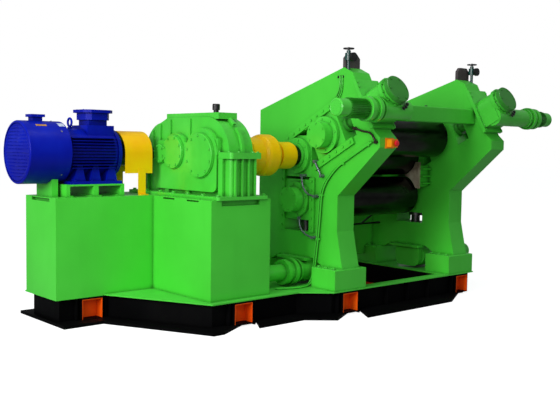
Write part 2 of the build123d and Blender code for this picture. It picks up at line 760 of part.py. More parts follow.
# Middle bearing blocks: fixed in the bend of the window, with a round housing outside
middle_block_front = block_reach - 14
block_thickness = frame_thickness - 2 * slide_fit
with BuildPart() as middle_blocks:
    for mid, out in ((near_mid_x, -1), (far_mid_x, 1)):
        with BuildSketch(Plane.YZ.offset(mid - block_thickness / 2)):
            with Locations((0, middle_block_bottom)):
                Rectangle(block_width, roll_axis_height + 200 - middle_block_bottom - slide_fit,
                          align=(Align.CENTER, Align.MIN))
            with Locations(inclined(middle_block_front)):
                Rectangle(800, 900, rotation=-screw_tilt, align=(Align.MIN, Align.CENTER),
                          mode=Mode.INTERSECT)
        extrude(amount=block_thickness)
        with BuildSketch(Plane.YZ.offset(mid)):
            with Locations((0, roll_axis_height)):
                Circle(ring_radius)
        extrude(amount=out * (frame_thickness / 2 + ring_proud))
        with BuildSketch(Plane.YZ.offset(mid)):
            with Locations((0, roll_axis_height)):
                Circle(cap_radius)
        extrude(amount=out * (frame_thickness / 2 + ring_proud + 22))
        with BuildSketch(Plane.YZ.offset(mid)):
            with Locations((0, roll_axis_height)):
                Circle(journal_radius + bore_fit)
        extrude(amount=500, both=True, mode=Mode.SUBTRACT)
save(middle_blocks, "middle_bearing_blocks")


# Sliding bearing blocks with a stepped round housing; the journals turn in blind bores
def sliding_blocks(y, z, tilt):
    with BuildPart() as blocks:
        for mid, out in ((near_mid_x, -1), (far_mid_x, 1)):
            with BuildSketch(Plane.YZ.offset(mid - block_thickness / 2)):
                with Locations((y, z)):
                    Rectangle(2 * block_half_length, block_width, rotation=tilt)
            extrude(amount=block_thickness)
            with BuildSketch(Plane.YZ.offset(mid)):
                with Locations((y, z)):
                    Circle(ring_radius)
            extrude(amount=out * (frame_thickness / 2 + ring_proud))
            with BuildSketch(Plane.YZ.offset(mid)):
                with Locations((y, z)):
                    Circle(cap_radius)
            extrude(amount=out * (frame_thickness / 2 + cap_proud))
            with BuildSketch(Plane.YZ.offset(mid + out * (frame_thickness / 2 + ring_proud))):
                with Locations((y, z)):
                    Circle(journal_radius + bore_fit)
            extrude(amount=-out * 500, mode=Mode.SUBTRACT)
    return blocks


top_blocks = sliding_blocks(top_roll_y, top_roll_z, -screw_tilt)
save(top_blocks, "top_bearing_blocks")
bottom_blocks = sliding_blocks(0, bottom_roll_z, 90)
save(bottom_blocks, "bottom_bearing_blocks")

# Bolted strips that keep the blocks in the windows
strip_middle = ring_radius + 6 + retainer_width / 2
with BuildPart() as retainers:
    for face_x in (near_frame_x - retainer_thickness, far_frame_x + frame_thickness):
        with BuildSketch(Plane.YZ.offset(face_x)):
            with Locations(inclined((retainer_end - 80) / 2, strip_middle)):
                Rectangle(retainer_end + 80, retainer_width, rotation=-screw_tilt)
            with Locations(inclined((retainer_end + 160) / 2, -strip_middle)):
                Rectangle(retainer_end - 160, retainer_width, rotation=-screw_tilt)
        extrude(amount=retainer_thickness)
        with BuildSketch(Plane.YZ.offset(face_x)):
            with Locations((strip_middle, lower_window_sill)):
                Rectangle(retainer_width, 830, align=(Align.CENTER, Align.MIN))
            with Locations((-strip_middle, lower_window_sill)):
                Rectangle(retainer_width, 540, align=(Align.CENTER, Align.MIN))
        extrude(amount=retainer_thickness)
save(retainers, "slot_retainers")

# Beams that tie the two frames together
inner_x = near_frame_x + frame_thickness
inner_span = frame_pitch - frame_thickness
with BuildPart() as nose_beam:
    with BuildSketch(Plane.YZ.offset(inner_x)):
        with Locations((-800, roll_axis_height + 432)):
            Rectangle(120, 155)
    extrude(amount=inner_span)
    chamfer(nose_beam.edges().filter_by(Axis.X), 8)
save(nose_beam, "nose_beam")

with BuildPart() as rear_tie:
    with BuildSketch(Plane.YZ.offset(inner_x)):
        with Locations((490, roll_axis_height - 130)):
            Rectangle(130, 220)
    extrude(amount=inner_span)
    chamfer(rear_tie.edges().filter_by(Axis.X), 8)
save(rear_tie, "rear_beam")

# Closing panel behind the rolls, and a thin braced rail in front of it
panel_top = roll_axis_height - 240
with BuildPart() as rear_panel:
    with BuildSketch(Plane.YZ.offset(inner_x)):
        with Locations((560, frame_foot_z - 100)):
            Rectangle(16, panel_top - frame_foot_z + 100, align=(Align.MIN, Align.MIN))
        with Locations((546, panel_top)):
            Rectangle(30, 26, align=(Align.MIN, Align.MAX))
    extrude(amount=inner_span)
    add(frame_feet.part, mode=Mode.SUBTRACT)
save(rear_panel, "rear_panel")

rail_y = 450
rail_z = 712
with BuildPart() as rear_rail:
    with BuildSketch(Plane.YZ.offset(inner_x)):
        with Locations((rail_y, rail_z)):
            Circle(11)
    extrude(amount=inner_span)
    with BuildSketch(Plane(origin=(far_frame_x - 330, rail_y, rail_z), z_dir=(330, 0, 165))):
        Circle(11)
    extrude(amount=368)
    split(bisect_by=Plane.YZ.offset(far_frame_x), keep=Keep.BOTTOM)
save(rear_rail, "rear_rail")

# Rolls with necks and journals
body_x0 = press_mid_x - roll_face / 2
body_x1 = press_mid_x + roll_face / 2
journal_x0 = near_frame_x - ring_proud + 6
journal_x1 = far_frame_x + frame_thickness + ring_proud - 6
neck_x0 = body_x0 - neck_length
neck_x1 = body_x1 + neck_length


def roll_profile(start_x):
    return [
        (start_x, journal_radius), (neck_x0, journal_radius), (neck_x0, neck_diameter / 2),
        (body_x0, neck_diameter / 2), (body_x0, roll_radius - roll_edge),
        (body_x0 + roll_edge, roll_radius), (body_x1 - roll_edge, roll_radius),
        (body_x1, roll_radius - roll_edge), (body_x1, neck_diameter / 2), (neck_x1, neck_diameter / 2),
        (neck_x1, journal_radius), (journal_x1, journal_radius)]


top_roll = turned(roll_profile(journal_x0), top_roll_y, top_roll_z)
save(top_roll, "top_roll")
bottom_roll = turned(roll_profile(journal_x0), 0, bottom_roll_z)
save(bottom_roll, "bottom_roll")
middle_roll = turned(roll_profile(40), 0, roll_axis_height)
save(middle_roll, "middle_roll")

# Gear coupling between the gearbox and the middle roll
hub_radius = 132
drum_radius = 200
roll_coupling = turned(
    [(gear_end_x + split_side + 21, 95), (-640, 95), (-640, hub_radius), (-560, hub_radius), (-540, 170), (-400, 170),
     (-395, drum_radius - 30), (-375, drum_radius - 8), (-350, drum_radius), (-250, drum_radius),
     (-228, drum_radius - 10), (-208, drum_radius - 40), (-196, hub_radius), (-190, hub_radius - 22),
     (-150, hub_radius - 22), (-150, hub_radius), (22, hub_radius), (30, hub_radius - 8), (40, hub_radius - 8)],
    0, roll_axis_height)
save(roll_coupling, "roll_coupling")

with BuildPart() as output_ring:
    with BuildSketch(Plane.YZ.offset(gear_end_x + split_side)):
        with Locations((0, roll_axis_height)):
            Circle(165)
    extrude(amount=16)
    chamfer(output_ring.edges().group_by(Axis.X)[-1], 6)
save(output_ring, "gearbox_output_ring")

# Upper screws, one to each top bearing block, running inside the drive housings
screw_start = roll_distance + block_half_length
screw_end = 1225
with BuildPart() as top_screws:
    for mid in frame_mids:
        with BuildSketch(screw_plane(mid, screw_start)):
            Circle(screw_radius + 25)
        extrude(amount=40)
        with BuildSketch(screw_plane(mid, screw_start)):
            Circle(screw_radius)
        extrude(amount=screw_end - screw_start)
save(top_screws, "top_screws")

lower_screw_top = bottom_roll_z - block_half_length
lower_screw_foot = 345
with BuildPart() as bottom_screws:
    for mid in frame_mids:
        with BuildSketch(Plane.XY.offset(lower_screw_top - 40)):
            with Locations((mid, 0)):
                Circle(screw_radius + 25)
        extrude(amount=40)
        with BuildSketch(Plane.XY.offset(lower_screw_foot)):
            with Locations((mid, 0)):
                Circle(screw_radius)
        extrude(amount=lower_screw_top - lower_screw_foot)
save(bottom_screws, "bottom_screws")


worm_y, worm_z = inclined(worm_station, -worm_drop)


# Upper gap drive: plate on the slope, inclined worm-wheel housing and the worm's box under it
def screw_drive(mid, tube_start, tube_end):
    with BuildPart() as drive:
        with BuildSketch(screw_plane(mid, slope_distance)):
            with Locations((0, -235)):
                Rectangle(2 * drive_radius + 40, 500, align=(Align.CENTER, Align.MIN))
        extrude(amount=drive_plate)
        with BuildSketch(screw_plane(mid, slope_distance + drive_plate)):
            Circle(drive_radius)
            Rectangle(2 * drive_radius, 190, align=(Align.CENTER, Align.MAX))
        extrude(amount=190)
        with BuildSketch(screw_plane(mid, slope_distance + drive_plate + 190)):
            Circle(drive_ring_radius)
        extrude(amount=36)
        with BuildSketch(screw_plane(mid, slope_distance + drive_plate + 226)):
            Circle(drive_radius - 10)
        extrude(amount=28)
        with BuildSketch(Plane.YZ.offset(tube_start)):
            with Locations((worm_y, worm_z)):
                Circle(worm_radius)
        extrude(amount=tube_end - tube_start)
        with BuildSketch(screw_plane(mid, slope_distance)):
            Circle(screw_radius + screw_clearance)
        extrude(amount=drive_plate + 254, mode=Mode.SUBTRACT)
    return drive


near_drive = screw_drive(near_mid_x, near_ring_x, near_worm_end)
far_drive = screw_drive(far_mid_x, far_worm_end, far_ring_x)
with BuildPart() as upper_drives:
    add(near_drive.part)
    add(far_drive.part)
save(upper_drives, "upper_screw_drives")

with BuildPart() as drive_caps:
    for mid in frame_mids:
        with BuildSketch(screw_plane(mid, slope_distance + drive_plate + 254)):
            Circle(drive_radius - 4)
        extrude(amount=drive_end - slope_distance - drive_plate - 254)
    chamfer(drive_caps.edges().filter_by(GeomType.CIRCLE).group_by(Axis.Y)[0], 5)
save(drive_caps, "screw_drive_caps")



# Gearmotor of a gap drive, turned about its own axis; reach counts away from the worm's flange
def gearmotor(ring_x, motor_end, side, y, z, ring, body):
    steps = [
        (0, ring - 14), (20, ring - 14), (20, ring - 30), (60, ring - 30), (60, ring), (98, ring),
        (98, ring - 26), (150, ring - 26), (150, ring - 6), (196, ring - 6), (196, body - 6)]
    length = abs(motor_end - ring_x)
    steps += [(length - 120, body - 6), (length - 118, body), (length - 10, body), (length, body - 12)]
    return turned([(ring_x + side * reach, radius) for reach, radius in steps], y, z)


near_gap_motor = gearmotor(near_ring_x, near_motor_end, -1, worm_y, worm_z, gap_flange_radius, gap_motor_radius)
far_gap_motor = gearmotor(far_ring_x, far_motor_end, 1, worm_y, worm_z, gap_flange_radius, gap_motor_radius)
with BuildPart() as upper_motors:
    add(near_gap_motor.part)
    add(far_gap_motor.part)
save(upper_motors, "upper_gap_motors")

# Lower gap drives under the frames: bodies hung from the frame's lower member
lower_box_half = 160
lower_box_front = -190
lower_box_rear = 152
lower_box_floor = 256
lower_tube_reach = 245
lower_tube_radius = 96
with BuildPart() as lower_drives:
    with BuildSketch(Plane.YZ.offset(near_mid_x - lower_box_half)):
        with Locations(((lower_box_front + lower_box_rear) / 2, lower_box_floor)):
            Rectangle(lower_box_rear - lower_box_front, arch_height - 26 - lower_box_floor,
                      align=(Align.CENTER, Align.MIN))
        fillet(vertices().group_by(Axis.Y)[0], 85)
    extrude(amount=2 * lower_box_half)
    with BuildSketch(Plane.XY.offset(arch_height - 26)):
        with Locations((near_mid_x, 0)):
            Rectangle(2 * lower_box_half + 90, 410)
    extrude(amount=26)
    with BuildSketch(Plane.YZ.offset(near_mid_x - lower_tube_reach)):
        with Locations((lower_worm_y, lower_worm_height)):
            Circle(lower_tube_radius)
    extrude(amount=lower_tube_reach + 100)
    with BuildSketch(Plane.XY.offset(lower_box_floor + 12)):
        with Locations((near_mid_x, 0)):
            Circle(screw_radius + screw_clearance)
    extrude(amount=300, mode=Mode.SUBTRACT)
    mirror(about=Plane.YZ.offset(press_mid_x))
save(lower_drives, "lower_screw_drives")

lower_ring_near = near_mid_x - lower_tube_reach
lower_ring_far = far_mid_x + lower_tube_reach
near_lower_motor = gearmotor(lower_ring_near, -500, -1, lower_worm_y, lower_worm_height, lower_flange_radius, 84)
far_lower_motor = gearmotor(lower_ring_far, lower_ring_far + 540, 1, lower_worm_y, lower_worm_height,
                            lower_flange_radius, 84)
with BuildPart() as lower_motors:
    add(near_lower_motor.part)
    add(far_lower_motor.part)
save(lower_motors, "lower_gap_motors")

# Stock guides: cheek plates shaped to the middle and bottom rolls at both ends of the nip
guide_clear = 7
roll_travel_in = 12
guide_thickness = 26
guide_inset = 35
guide_front_y = -262
guide_back_y = -62
guide_places = (body_x0 + guide_inset, body_x1 - guide_inset - guide_thickness)
with BuildPart() as stock_guides:
    for guide_x in guide_places:
        with BuildSketch(Plane.YZ.offset(guide_x)):
            with Locations((guide_front_y, (roll_axis_height + bottom_roll_z) / 2 + 10)):
                Rectangle(guide_back_y - guide_front_y, 292, align=(Align.MIN, Align.CENTER))
            with Locations((0, roll_axis_height)):
                Circle(roll_radius + guide_clear, mode=Mode.SUBTRACT)
            with Locations((0, bottom_roll_z)):
                Circle(roll_radius + guide_clear + roll_travel_in, mode=Mode.SUBTRACT)
        extrude(amount=guide_thickness)
save(stock_guides, "stock_guides")

bracket_height = (roll_axis_height + bottom_roll_z) / 2
with BuildPart() as guide_brackets:
    for guide_x, out, frame_face in (
            (guide_places[0], -1, inner_x), (guide_places[1] + guide_thickness, 1, far_frame_x)):
        span = abs(frame_face - guide_x)
        start = min(frame_face, guide_x)
        with Locations((start, guide_front_y + 12, bracket_height)):
            Box(span, 24, 230, align=(Align.MIN, Align.CENTER, Align.CENTER))
            for level in (-80, 0, 80):
                with Locations((0, -32, level)):
                    Box(span, 40, 16, align=(Align.MIN, Align.CENTER, Align.CENTER))
save(guide_brackets, "guide_brackets")

# Grease pump stands on the frames' peaks: a rounded plate, a pipe, a valve, a gauge and a hand wheel
stand_y = -590
stand_top = peak_height + 130
stand_foot = peak_height - 50
pipe_foot = peak_height - 70
valve_foot = peak_height + 60
gauge_height = peak_height + 90
stem_height = 24
wheel_rise = 18
with BuildPart() as peak_plates:
    for x in (near_frame_x, far_frame_x):
        with BuildSketch(Plane(origin=(0, stand_y, 0), x_dir=(1, 0, 0), z_dir=(0, -1, 0))):
            with Locations((x + 18, stand_foot)):
                Rectangle(frame_thickness - 36, stand_top - stand_foot, align=(Align.MIN, Align.MIN))
            chamfer(vertices().group_by(Axis.Y)[-1], 40)
        extrude(amount=18, both=True)
    add(near_frame.part, mode=Mode.SUBTRACT)
    add(far_frame.part, mode=Mode.SUBTRACT)
save(peak_plates, "peak_plates")

valve_places = ((near_frame_x + 16, -1), (far_frame_x + frame_thickness - 16, 1))
valve_y = -645
with BuildPart() as valve_bodies:
    for x, out in valve_places:
        with BuildSketch(Plane.XY.offset(pipe_foot)):
            with Locations((x, valve_y)):
                Circle(15)
        extrude(amount=130)
        with BuildSketch(Plane.XY.offset(valve_foot)):
            with Locations((x, valve_y)):
                Circle(34)
        extrude(amount=70)
        with BuildSketch(Plane.XY.offset(stand_top)):
            with Locations((x, valve_y)):
                Circle(20)
        extrude(amount=stem_height)
        with BuildSketch(Plane.XZ.offset(-valve_y)):
            with Locations((x, gauge_height)):
                Circle(12)
        extrude(amount=48)
        with BuildSketch(Plane.XZ.offset(-valve_y)):
            with Locations((x, gauge_height)):
                Circle(16)
        extrude(amount=-(stand_y - 18 - valve_y))
    add(near_frame.part, mode=Mode.SUBTRACT)
    add(far_frame.part, mode=Mode.SUBTRACT)
save(valve_bodies, "valve_bodies")

with BuildPart() as gauges:
    for x, out in valve_places:
        with BuildSketch(Plane.XZ.offset(-valve_y + 48)):
            with Locations((x, gauge_height)):
                Circle(42)
        extrude(amount=26)
save(gauges, "pressure_gauges")

wheel_foot = stand_top + stem_height + 0.5
wheel_height = wheel_foot - 0.5 + wheel_rise


def hand_wheel(x):
    with BuildPart() as wheel:
        with BuildSketch(Plane.XY.offset(wheel_foot)):
            with Locations((x, valve_y)):
                Circle(10)
        extrude(amount=30)
        with BuildSketch(Plane.XY.offset(wheel_height - 5)):
            with Locations((x, valve_y)):
                Circle(52)
                Circle(40, mode=Mode.SUBTRACT)
                Rectangle(90, 9)
                Rectangle(9, 90)
        extrude(amount=10)
    return wheel


near_wheel = hand_wheel(valve_places[0][0])
save(near_wheel, "near_hand_wheel")
far_wheel = hand_wheel(valve_places[1][0])
save(far_wheel, "far_hand_wheel")

# Stop box on the near frame's nose
stop_z = nose_low_height + 42
with BuildPart() as stop_box:
    with Locations((296, nose_front_y, stop_z)):
        Box(112, 8, 96, align=(Align.CENTER, Align.MAX, Align.CENTER))
        Box(88, 66, 76, align=(Align.CENTER, Align.MAX, Align.CENTER))
    chamfer(stop_box.edges().filter_by(Axis.Y).group_by(Axis.Y)[0], 5)
save(stop_box, "stop_box")

# Guard over the connecting gears outside the far frame, open towards the frame
guard_x = far_frame_x + frame_thickness
gear_guard_radius = 256
gear_guard_depth = 176
with BuildPart() as gear_guard:
    with BuildSketch(Plane.YZ.offset(guard_x)):
        with Locations((0, bottom_roll_z), (0, roll_axis_height), (top_roll_y, top_roll_z)):
            Circle(gear_guard_radius)
        make_hull()
    extrude(amount=gear_guard_depth)
    with BuildSketch(Plane.YZ.offset(guard_x)):
        with Locations((0, bottom_roll_z), (0, roll_axis_height), (top_roll_y, top_roll_z)):
            Circle(gear_guard_radius - guard_sheet)
        make_hull()
    extrude(amount=gear_guard_depth - guard_sheet, mode=Mode.SUBTRACT)
    add(retainers.part, mode=Mode.SUBTRACT)
save(gear_guard, "gear_guard")


# Bend radii for a hose: as large as the shorter run beside each corner allows
def bend_radii(points):
    radii = []
    for before, corner, after in zip(points, points[1:], points[2:]):
        run_in = Vector(*corner) - Vector(*before)
        run_out = Vector(*after) - Vector(*corner)
        half_turn = radians(run_in.get_angle(run_out)) / 2
        radii.append(0.45 * min(run_in.length, run_out.length) / tan(half_turn))
    return radii


# A hose or conduit through its corner points
def hose(points, radius):
    with BuildPart() as tube:
        with BuildLine() as route:
            FilletPolyline(*points, radius=bend_radii(points))
        with BuildSketch(Plane(origin=route.line @ 0, z_dir=route.line % 0)):
            Circle(radius)
        sweep(path=route.line)
    return tube


# Hoses with their end fittings on the near frame's outer face, and the stop box's cable
hose_radius = 9
fitting_radius = 17
fitting_lead = 14
loose_end_x = 126
hose_routes = [
    [(132, -268, 1456), (132, -316, 1384), (132, -359, 1318)],
    [(112, -107, 1312), (112, -124, 1200), (112, -189, 1134), (112, -288, 1117)],
    [(112, -79, 888), (112, -96, 792), (112, -169, 735), (112, -270, 710)],
    [(150, -775, 1776), (150, -866, 1750), (150, -978, 1738), (150, -1035, 1650)]]
with BuildPart() as frame_hoses:
    for points in hose_routes:
        add(hose(points, hose_radius).part)
        for end in (points[0], points[-1]):
            seat_x = loose_end_x if end[2] == 888 else near_frame_x
            with BuildSketch(Plane.YZ.offset(end[0] - fitting_lead)):
                with Locations((end[1], end[2])):
                    RegularPolygon(fitting_radius, 6)
            extrude(amount=seat_x - end[0] + fitting_lead)
    add(retainers.part, mode=Mode.SUBTRACT)
save(frame_hoses, "frame_hoses")

# Two conduits side by side down the near frame and along the deck, with their clips
conduit_radius = 8
conduit_pitch = 24
clip_depth = 22
deck_line = deck_top + conduit_radius
conduit_route = [
    (150, -991, 1652), (150, -538, 1402), (150, -360, 1200), (150, -320, 700), (150, -255, deck_line),
    (-79, -350, deck_line), (-340, -270, deck_line)]
with BuildPart() as frame_conduits:
    for shift in (0, conduit_pitch):
        add(hose([(x, y + shift, z) for x, y, z in conduit_route], conduit_radius).part)
    for clip_y, clip_z in ((-940, 1621), (-628, 1444), (-352, 1130), (-322, 700)):
        with Locations((near_frame_x, clip_y + conduit_pitch / 2, clip_z)):
            Box(clip_depth, conduit_pitch + 34, 18, align=(Align.MAX, Align.CENTER, Align.CENTER))
save(frame_conduits, "frame_conduits")

print("parts written:", len(os.listdir("parts")))
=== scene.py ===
import math
import bpy
import numpy as np
from mathutils import Matrix, Vector


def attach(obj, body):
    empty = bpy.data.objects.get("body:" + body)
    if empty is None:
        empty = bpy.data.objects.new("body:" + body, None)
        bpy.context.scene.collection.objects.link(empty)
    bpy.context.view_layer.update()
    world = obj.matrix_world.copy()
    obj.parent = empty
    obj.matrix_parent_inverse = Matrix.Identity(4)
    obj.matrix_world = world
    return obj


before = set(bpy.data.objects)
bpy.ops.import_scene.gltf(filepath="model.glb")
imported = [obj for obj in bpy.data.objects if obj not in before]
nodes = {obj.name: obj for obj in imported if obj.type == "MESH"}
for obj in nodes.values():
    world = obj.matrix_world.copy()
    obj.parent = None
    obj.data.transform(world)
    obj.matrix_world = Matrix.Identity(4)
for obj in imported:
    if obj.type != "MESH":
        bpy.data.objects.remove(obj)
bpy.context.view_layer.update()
scene = bpy.context.scene

# ---- camera, matched to the photo's straight edges
camData = bpy.data.cameras.new("camera")
camData.sensor_fit = "HORIZONTAL"
camData.sensor_width = 36.0
camData.lens = 52.25
camData.clip_end = 200
camera = bpy.data.objects.new("camera", camData)
scene.collection.objects.link(camera)
right = Vector((0.7464077, -0.66530516, 0.01563958))
up = Vector((0.03235555, 0.05975283, 0.99768869))
back = right.cross(up)
turn = Matrix((right, up, back)).transposed().to_4x4()
camera.matrix_world = Matrix.Translation((-5.4035, -5.9662, 1.6)) @ turn
scene.camera = camera


# ---- light: big soft box from the drive end, a weaker one low in front of it, one above, white surround
def areaLight(name, place, aim, size, watts, color=(1, 1, 1)):
    data = bpy.data.lights.new(name, "AREA")
    data.shape = "SQUARE"
    data.size = size
    data.energy = watts
    data.color = color
    lamp = bpy.data.objects.new(name, data)
    scene.collection.objects.link(lamp)
    lamp.location = place
    lamp.rotation_euler = (Vector(aim) - Vector(place)).to_track_quat("-Z", "Y").to_euler()
    return lamp


areaLight("endLight", (-9.5, -2.0, 4.2), (0, 0, 1.1), 3.5, 620)
areaLight("frontLight", (-5.2, -4.8, 3.3), (-1.4, 0, 0.9), 2.2, 84)
areaLight("topLight", (-1.0, -2.0, 8.5), (0.0, 0, 1.0), 4.0, 170)

world = bpy.data.worlds.new("studio")
scene.world = world
world.use_nodes = True
wt = world.node_tree
wt.nodes.clear()
wOut = wt.nodes.new("ShaderNodeOutputWorld")
wMix = wt.nodes.new("ShaderNodeMixShader")
wPath = wt.nodes.new("ShaderNodeLightPath")
wSoft = wt.nodes.new("ShaderNodeBackground")
wSoft.inputs["Color"].default_value = (0.93, 0.97, 1.0, 1)
wSoft.inputs["Strength"].default_value = 0.27
wWhite = wt.nodes.new("ShaderNodeBackground")
wWhite.inputs["Color"].default_value = (1, 1, 1, 1)
wWhite.inputs["Strength"].default_value = 1.0
wt.links.new(wPath.outputs["Is Camera Ray"], wMix.inputs[0])
wt.links.new(wSoft.outputs[0], wMix.inputs[1])
wt.links.new(wWhite.outputs[0], wMix.inputs[2])
wt.links.new(wMix.outputs[0], wOut.inputs[0])
scene.view_settings.view_transform = "Standard"


# ---- materials
def newMaterial(name):
    mat = bpy.data.materials.new(name)
    mat.use_nodes = True
    nt = mat.node_tree
    bsdf = nt.nodes["Principled BSDF"]
    coord = nt.nodes.new("ShaderNodeTexCoord")
    return mat, nt, bsdf, coord.outputs["Object"]


def noiseOf(nt, coord, scale, detail=4.0, rough=0.5, stretch=None):
    if stretch:
        mapping = nt.nodes.new("ShaderNodeMapping")
        mapping.inputs["Scale"].default_value = stretch
        nt.links.new(coord, mapping.inputs["Vector"])
        coord = mapping.outputs["Vector"]
    tex = nt.nodes.new("ShaderNodeTexNoise")
    tex.inputs["Scale"].default_value = scale
    tex.inputs["Detail"].default_value = detail
    tex.inputs["Roughness"].default_value = rough
    nt.links.new(coord, tex.inputs["Vector"])
    return tex.outputs["Fac"]


def rampOf(nt, fac, stops):
    ramp = nt.nodes.new("ShaderNodeValToRGB")
    els = ramp.color_ramp.elements
    while len(els) < len(stops):
        els.new(0.5)
    for el, (pos, col) in zip(els, stops):
        el.position = pos
        el.color = (*col, 1)
    nt.links.new(fac, ramp.inputs["Fac"])
    return ramp.outputs["Color"]


def mixOf(nt, fac, a, b, kind="MIX"):
    mix = nt.nodes.new("ShaderNodeMix")
    mix.data_type = "RGBA"
    mix.blend_type = kind
    if isinstance(fac, (int, float)):
        mix.inputs[0].default_value = fac
    else:
        nt.links.new(fac, mix.inputs[0])
    nt.links.new(a, mix.inputs[6])
    if isinstance(b, tuple):
        mix.inputs[7].default_value = (*b, 1)
    else:
        nt.links.new(b, mix.inputs[7])
    return mix.outputs[2]


def bumpOf(nt, bsdf, height, strength, distance=0.002, before=None):
    bump = nt.nodes.new("ShaderNodeBump")
    bump.inputs["Strength"].default_value = strength
    bump.inputs["Distance"].default_value = distance
    nt.links.new(height, bump.inputs["Height"])
    if before:
        nt.links.new(before, bump.inputs["Normal"])
    nt.links.new(bump.outputs["Normal"], bsdf.inputs["Normal"])
    return bump.outputs["Normal"]


# sprayed machine paint: cloudy colour, orange peel, faint runs, dust where it lies level, painted shade in
# the corners from ambient occlusion
def paint(name, s):
    mat, nt, bsdf, coord = newMaterial(name)
    cloud = noiseOf(nt, coord, s["cloudScale"], 3.0, 0.55)
    col = rampOf(nt, cloud, [(0.3, s["dark"]), (0.55, s["base"]), (0.75, s["light"])])
    runs = noiseOf(nt, coord, 2.2, 5.0, 0.6, stretch=(3.0, 3.0, 0.35))
    streak = rampOf(nt, runs, [(0.52, (1, 1, 1)), (0.75, s["streak"])])
    col = mixOf(nt, 0.5, col, streak, "MULTIPLY")
    geo = nt.nodes.new("ShaderNodeNewGeometry")
    split = nt.nodes.new("ShaderNodeSeparateXYZ")
    nt.links.new(geo.outputs["Normal"], split.inputs[0])
    level = nt.nodes.new("ShaderNodeMapRange")
    level.inputs["From Min"].default_value = 0.75
    level.inputs["From Max"].default_value = 1.0
    level.inputs["To Max"].default_value = s["dustAmount"]
    nt.links.new(split.outputs["Z"], level.inputs["Value"])
    speck = noiseOf(nt, coord, 38.0, 6.0, 0.65)
    dust = nt.nodes.new("ShaderNodeMath")
    dust.operation = "MULTIPLY"
    nt.links.new(level.outputs[0], dust.inputs[0])
    nt.links.new(speck, dust.inputs[1])
    col = mixOf(nt, dust.outputs[0], col, s["dust"])
    # painted shade: ambient occlusion multiplies a darker colour into corners, creases and gaps between parts
    ao = nt.nodes.new("ShaderNodeAmbientOcclusion")
    ao.inputs["Distance"].default_value = 0.05
    ao.samples = 4
    occlusionShade = rampOf(nt, ao.outputs["AO"], [(0.35, s["occlusionShade"]), (0.8, (1, 1, 1))])
    col = mixOf(nt, 0.75, col, occlusionShade, "MULTIPLY")
    nt.links.new(col, bsdf.inputs["Base Color"])
    gloss = nt.nodes.new("ShaderNodeMapRange")
    gloss.inputs["To Min"].default_value = s["roughLow"]
    gloss.inputs["To Max"].default_value = s["roughHigh"]
    nt.links.new(noiseOf(nt, coord, 6.0, 5.0, 0.6), gloss.inputs["Value"])
    nt.links.new(gloss.outputs[0], bsdf.inputs["Roughness"])
    bsdf.inputs["Coat Weight"].default_value = s["coat"]
    bsdf.inputs["Specular IOR Level"].default_value = s["shine"]
    bsdf.inputs["Coat Roughness"].default_value = 0.12
    wave = bumpOf(nt, bsdf, noiseOf(nt, coord, 3.2, 2.0, 0.5), 0.25, 0.006)
    bumpOf(nt, bsdf, noiseOf(nt, coord, 240.0, 2.0, 0.5), s["peel"], 0.0006, wave)
    return mat


# in each finish, the colour that ambient occlusion multiplies into corners and crevices is painted shade
greenPaint = paint("greenPaint", {
    "cloudScale": 1.1, "dark": (0.060, 0.585, 0.036), "base": (0.070, 0.655, 0.044),
    "light": (0.085, 0.70, 0.056),
    "streak": (0.86, 0.93, 0.84), "dust": (0.26, 0.62, 0.22), "dustAmount": 0.25, "occlusionShade": (0.05, 0.13, 0.04),
    "roughLow": 0.30, "roughHigh": 0.46, "coat": 0.12, "peel": 0.22, "shine": 0.35})
castGreen = paint("castGreen", {
    "cloudScale": 2.6, "dark": (0.060, 0.575, 0.038), "base": (0.074, 0.66, 0.048),
    "light": (0.095, 0.72, 0.064),
    "streak": (0.84, 0.92, 0.82), "dust": (0.26, 0.62, 0.22), "dustAmount": 0.25, "occlusionShade": (0.05, 0.12, 0.04),
    "roughLow": 0.24, "roughHigh": 0.38, "coat": 0.30, "peel": 0.7, "shine": 0.45})
deepGreen = paint("deepGreen", {
    "cloudScale": 3.0, "dark": (0.022, 0.21, 0.015), "base": (0.030, 0.27, 0.020),
    "light": (0.045, 0.33, 0.032),
    "streak": (0.80, 0.88, 0.80), "dust": (0.20, 0.36, 0.20), "dustAmount": 0.2, "occlusionShade": (0.12, 0.2, 0.12),
    "roughLow": 0.30, "roughHigh": 0.45, "coat": 0.2, "peel": 0.4, "shine": 0.4})
bluePaint = paint("bluePaint", {
    "cloudScale": 2.2, "dark": (0.001, 0.004, 0.27), "base": (0.001, 0.007, 0.34),
    "light": (0.002, 0.014, 0.44),
    "streak": (0.80, 0.80, 0.90), "dust": (0.02, 0.05, 0.45), "dustAmount": 0.1, "occlusionShade": (0.05, 0.05, 0.12),
    "roughLow": 0.26, "roughHigh": 0.42, "coat": 0.03, "peel": 0.4, "shine": 0.10})
yellowPaint = paint("yellowPaint", {
    "cloudScale": 2.5, "dark": (1.0, 0.50, 0.001), "base": (1.0, 0.60, 0.001), "light": (1.0, 0.66, 0.002),
    "streak": (0.96, 0.90, 0.85), "dust": (0.9, 0.62, 0.10), "dustAmount": 0.1, "occlusionShade": (0.7, 0.35, 0.1),
    "roughLow": 0.30, "roughHigh": 0.45, "coat": 0.08, "peel": 0.35, "shine": 0.2})
bedBlack = paint("bedBlack", {
    "cloudScale": 1.8, "dark": (0.0010, 0.0010, 0.0012), "base": (0.002, 0.002, 0.0024),
    "light": (0.004, 0.004, 0.004),
    "streak": (0.8, 0.8, 0.8), "dust": (0.010, 0.009, 0.008), "dustAmount": 0.1, "occlusionShade": (0.3, 0.3, 0.3),
    "roughLow": 0.45, "roughHigh": 0.65, "coat": 0.0, "peel": 0.4, "shine": 0.03})
